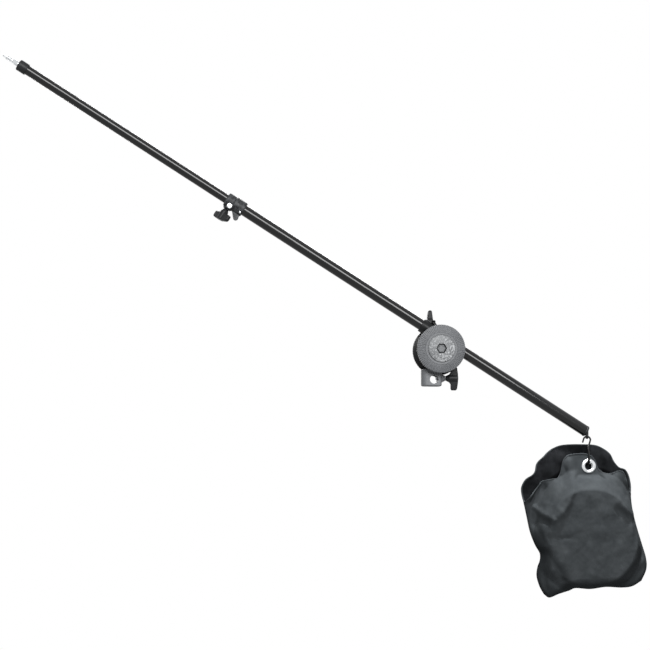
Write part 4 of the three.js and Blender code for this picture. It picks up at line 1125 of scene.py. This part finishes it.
bagPlace = shift(layout["bagX"], 0, layout["bagZ"])
bag = addPiece(buildBag(), "weightBag", bagPlace, bagNylon, "bag", ["weight_bag"], 0)
# The inner face of the cloth takes the darker copy, painted shade for the inside of the mouth
bag.data.materials.append(shadedInsideCloth)
bagWall = bag.modifiers.new("cloth", "SOLIDIFY")
bagWall.thickness = bagShape["cloth"] * mm
bagWall.offset = 0
bagWall.material_offset = 1
bagWall.material_offset_rim = 0


# Both hems are bound with a narrow rolled strip
hemRoll = {"radius": 1.5, "facets": 10}
for name, grid in (("frontHemRoll", frontGrid), ("backHemRoll", backGrid)):
    addPiece(
        sweptWire(grid[0], hemRoll["radius"], hemRoll["facets"]), name, bagPlace, bagNylon, "bag",
        (), 0,
    )

# Tongue of cloth behind the rear grommet, which keeps the hook's tip off whatever hangs behind
tongue = {
    "width": 44.0, "x": 5.0, "cloth": 1.1, "across": 20, "narrowFrom": 0.6, "narrow": 0.4,
    "sag": 1.2, "waves": 4,
    "line": [(7.4, -30), (11.5, -36), (14.6, -44), (15.6, -54), (15.2, -66), (13.6, -78)],
}


def buildTongue():
    t = tongue
    line = smoothLine([Vector((0, y, z)) for y, z in t["line"]], 4)
    rows = []
    for i, place in enumerate(line):
        down = i / len(line)
        pinch = smoothStep((down - t["narrowFrom"]) / (1 - t["narrowFrom"])) ** 2
        half = t["width"] / 2 * (1 - t["narrow"] * pinch)
        row = []
        for k in range(t["across"] + 1):
            share = 2 * k / t["across"] - 1
            sag = t["sag"] * math.cos(share * t["waves"]) * down
            row.append(Vector((t["x"] + share * half, place.y + sag, place.z)))
        rows.append(row)
    bm = bmesh.new()
    bentGrid(bm, rows)
    bmesh.ops.recalc_face_normals(bm, faces=bm.faces)
    return bm, sum((b - a).length for a, b in zip(line, line[1:]))


tongueMesh, tongueLength = buildTongue()
hookTongue = addPiece(tongueMesh, "hookTongue", bagPlace, bagNylon, "bag", (), 0)
tongueWall = hookTongue.modifiers.new("cloth", "SOLIDIFY")
tongueWall.thickness = tongue["cloth"] * mm
tongueWall.offset = 0
print("bag made")


# Sand pouch: seen through the mouth, it fills the belly and slumps into soft dents
pouch = {
    "centre": (320, 0, -300), "passes": 6, "thinner": 0.86, "smaller": 0.96, "shrink": 1.5,
    "dent": 1.6, "dentSize": 22, "clearance": 1.6,
}


def buildPouch():
    d = pouch
    bm = nodeCopy("ballast_pouch")
    bmesh.ops.subdivide_edges(bm, edges=bm.edges, cuts=2, use_grid_fill=True)
    for _ in range(d["passes"]):
        bmesh.ops.smooth_vert(
            bm, verts=bm.verts, factor=0.5, use_axis_x=True, use_axis_y=True, use_axis_z=True
        )
    centre = Vector(d["centre"]) * mm
    for vert in bm.verts:
        away = vert.co - centre
        away.y *= d["thinner"]
        away *= d["smaller"]
        dent = noise.noise(vert.co / mm / d["dentSize"]) * d["dent"] * mm
        vert.co = centre + away + away.normalized() * (dent - d["shrink"] * mm)
    restAgainst(bm, bag, d["clearance"] * mm)
    return bm


# Presses the pouch in wherever it would stand through the cloth around it
def restAgainst(bm, wall, clearance):
    cloth = BVHTree.FromObject(wall, bpy.context.evaluated_depsgraph_get())
    for vert in bm.verts:
        side = -1 if vert.co.y < 0 else 1
        hit = cloth.ray_cast(Vector((vert.co.x, 0, vert.co.z)), Vector((0, side, 0)))[0]
        if hit is not None:
            room = max(abs(hit.y) - clearance, 0.5 * mm)
            vert.co.y = side * min(abs(vert.co.y), room)


sandPouch = addPiece(
    buildPouch(), "sandPouch", Matrix(), pouchCloth, "bag", ["ballast_pouch"], 0
)
print("pouch made")


# Studio: pale floor, white surround, a long lamp in front, a weaker one behind and a
# small one over the bag

studio = {
    "azimuth": -5.6, "elevation": -5.6, "distance": 4.0, "target": (-0.21685, 0, 0.12078),
    "sensor": 36, "pixels": 650, "millimetresPerPixel": 1.99, "floorDrop": 1.6,
    "floorReach": 6.0, "floorWhite": 0.75, "ambient": 0.05,
}
# The long side of the front lamp lies beside the boom, so it draws a line along both tubes
softboxes = {
    "keySoftbox": {
        "place": (-0.18, -3.38, 1.635), "target": (-0.25, 0, 0.22),
        "along": layout["boomAlong"], "size": (3.4, 1.5), "power": 202,
    },
    "rearSoftbox": {
        "place": (-0.1, 3.4, 1.5), "target": (-0.1, 0, 0.05), "along": (1, 0, 0),
        "size": (2.6, 1.4), "power": 90,
    },
}
# The lamp over the bag shows its folds
bagLamp = {
    "place": (0.335, -0.19, 0.52), "target": (0.31, -0.03, -0.25), "power": 62,
    "radius": 0.04, "cone": 32, "blend": 0.4,
}


def aimAt(obj, target):
    direction = Vector(target) - obj.location
    obj.rotation_euler = direction.to_track_quat("-Z", "Y").to_euler()


def addCamera():
    data = bpy.data.cameras.new("camera")
    data.sensor_width = studio["sensor"]
    data.sensor_fit = "HORIZONTAL"
    frameWidth = studio["pixels"] * studio["millimetresPerPixel"] * mm
    data.lens = studio["sensor"] * studio["distance"] / frameWidth
    data.clip_end = 100
    camera = inScene("camera", data)
    azimuth = math.radians(studio["azimuth"])
    elevation = math.radians(studio["elevation"])
    level = math.cos(elevation)
    direction = Vector(
        (math.sin(azimuth) * level, -math.cos(azimuth) * level, math.sin(elevation))
    )
    camera.location = Vector(studio["target"]) + direction * studio["distance"]
    aimAt(camera, studio["target"])
    bpy.context.scene.camera = camera


def addSoftbox(name):
    d = softboxes[name]
    data = bpy.data.lights.new(name, "AREA")
    data.shape = "RECTANGLE"
    data.size, data.size_y = d["size"]
    data.energy = d["power"]
    backward = (Vector(d["place"]) - Vector(d["target"])).normalized()
    side = Vector(d["along"])
    side = (side - backward * side.dot(backward)).normalized()
    turned = Matrix((side, backward.cross(side), backward)).transposed()
    inScene(name, data).matrix_world = Matrix.Translation(d["place"]) @ turned.to_4x4()


def addBagLamp():
    data = bpy.data.lights.new("bagLamp", "SPOT")
    data.energy = bagLamp["power"]
    data.shadow_soft_size = bagLamp["radius"]
    data.spot_size = math.radians(bagLamp["cone"])
    data.spot_blend = bagLamp["blend"]
    lamp = inScene("bagLamp", data)
    lamp.location = bagLamp["place"]
    aimAt(lamp, bagLamp["target"])


# 1 where the camera, a mirror or glass sees the surroundings, 0 where they only give light
def seenDirectly(owner):
    paths = addNode(owner, "ShaderNodeLightPath").outputs
    seen = paths["Is Camera Ray"]
    for ray in ("Is Glossy Ray", "Is Transmission Ray"):
        seen = addNode(
            owner, "ShaderNodeMath", {0: seen, 1: paths[ray]}, operation="MAXIMUM"
        ).outputs["Value"]
    return seen


def addBackground():
    world = bpy.data.worlds.new("studioWhite")
    bpy.context.scene.world = world
    world.use_nodes = True
    world.node_tree.nodes.clear()
    ambient = addNode(world, "ShaderNodeBackground", {"Strength": studio["ambient"]})
    white = addNode(world, "ShaderNodeBackground", {"Color": (1, 1, 1, 1), "Strength": 1.0})
    ends = {1: ambient.outputs["Background"], 2: white.outputs["Background"]}
    mix = addNode(world, "ShaderNodeMixShader", {0: seenDirectly(world), **ends})
    addNode(world, "ShaderNodeOutputWorld", {"Surface": mix.outputs["Shader"]})


# The floor is seen paler than the lamps make it, with the shadow kept
def addFloor():
    bm = bmesh.new()
    bmesh.ops.create_grid(bm, x_segments=8, y_segments=8, size=studio["floorReach"])
    material, shader = newMaterial(
        "paleFloor",
        {"Base Color": linearColour("#b4b4b4"), "Roughness": 0.9, "Specular IOR Level": 0.0},
    )
    white = addNode(material, "ShaderNodeEmission", {"Color": (1, 1, 1, 1), "Strength": 1.0})
    share = addNode(
        material, "ShaderNodeMath", {0: seenDirectly(material), 1: studio["floorWhite"]},
        operation="MULTIPLY",
    )
    mix = addNode(
        material, "ShaderNodeMixShader",
        {0: share.outputs["Value"], 1: shader.outputs["BSDF"], 2: white.outputs["Emission"]},
    )
    output = material.node_tree.nodes["Material Output"]
    material.node_tree.links.new(mix.outputs["Shader"], output.inputs["Surface"])
    toObject(bm, "floor", Matrix.Translation((0, 0, -studio["floorDrop"])), material)


bpy.context.scene.view_settings.view_transform = "Standard"
addCamera()
addBackground()
addFloor()
for name in softboxes:
    addSoftbox(name)
addBagLamp()
print("studio set")
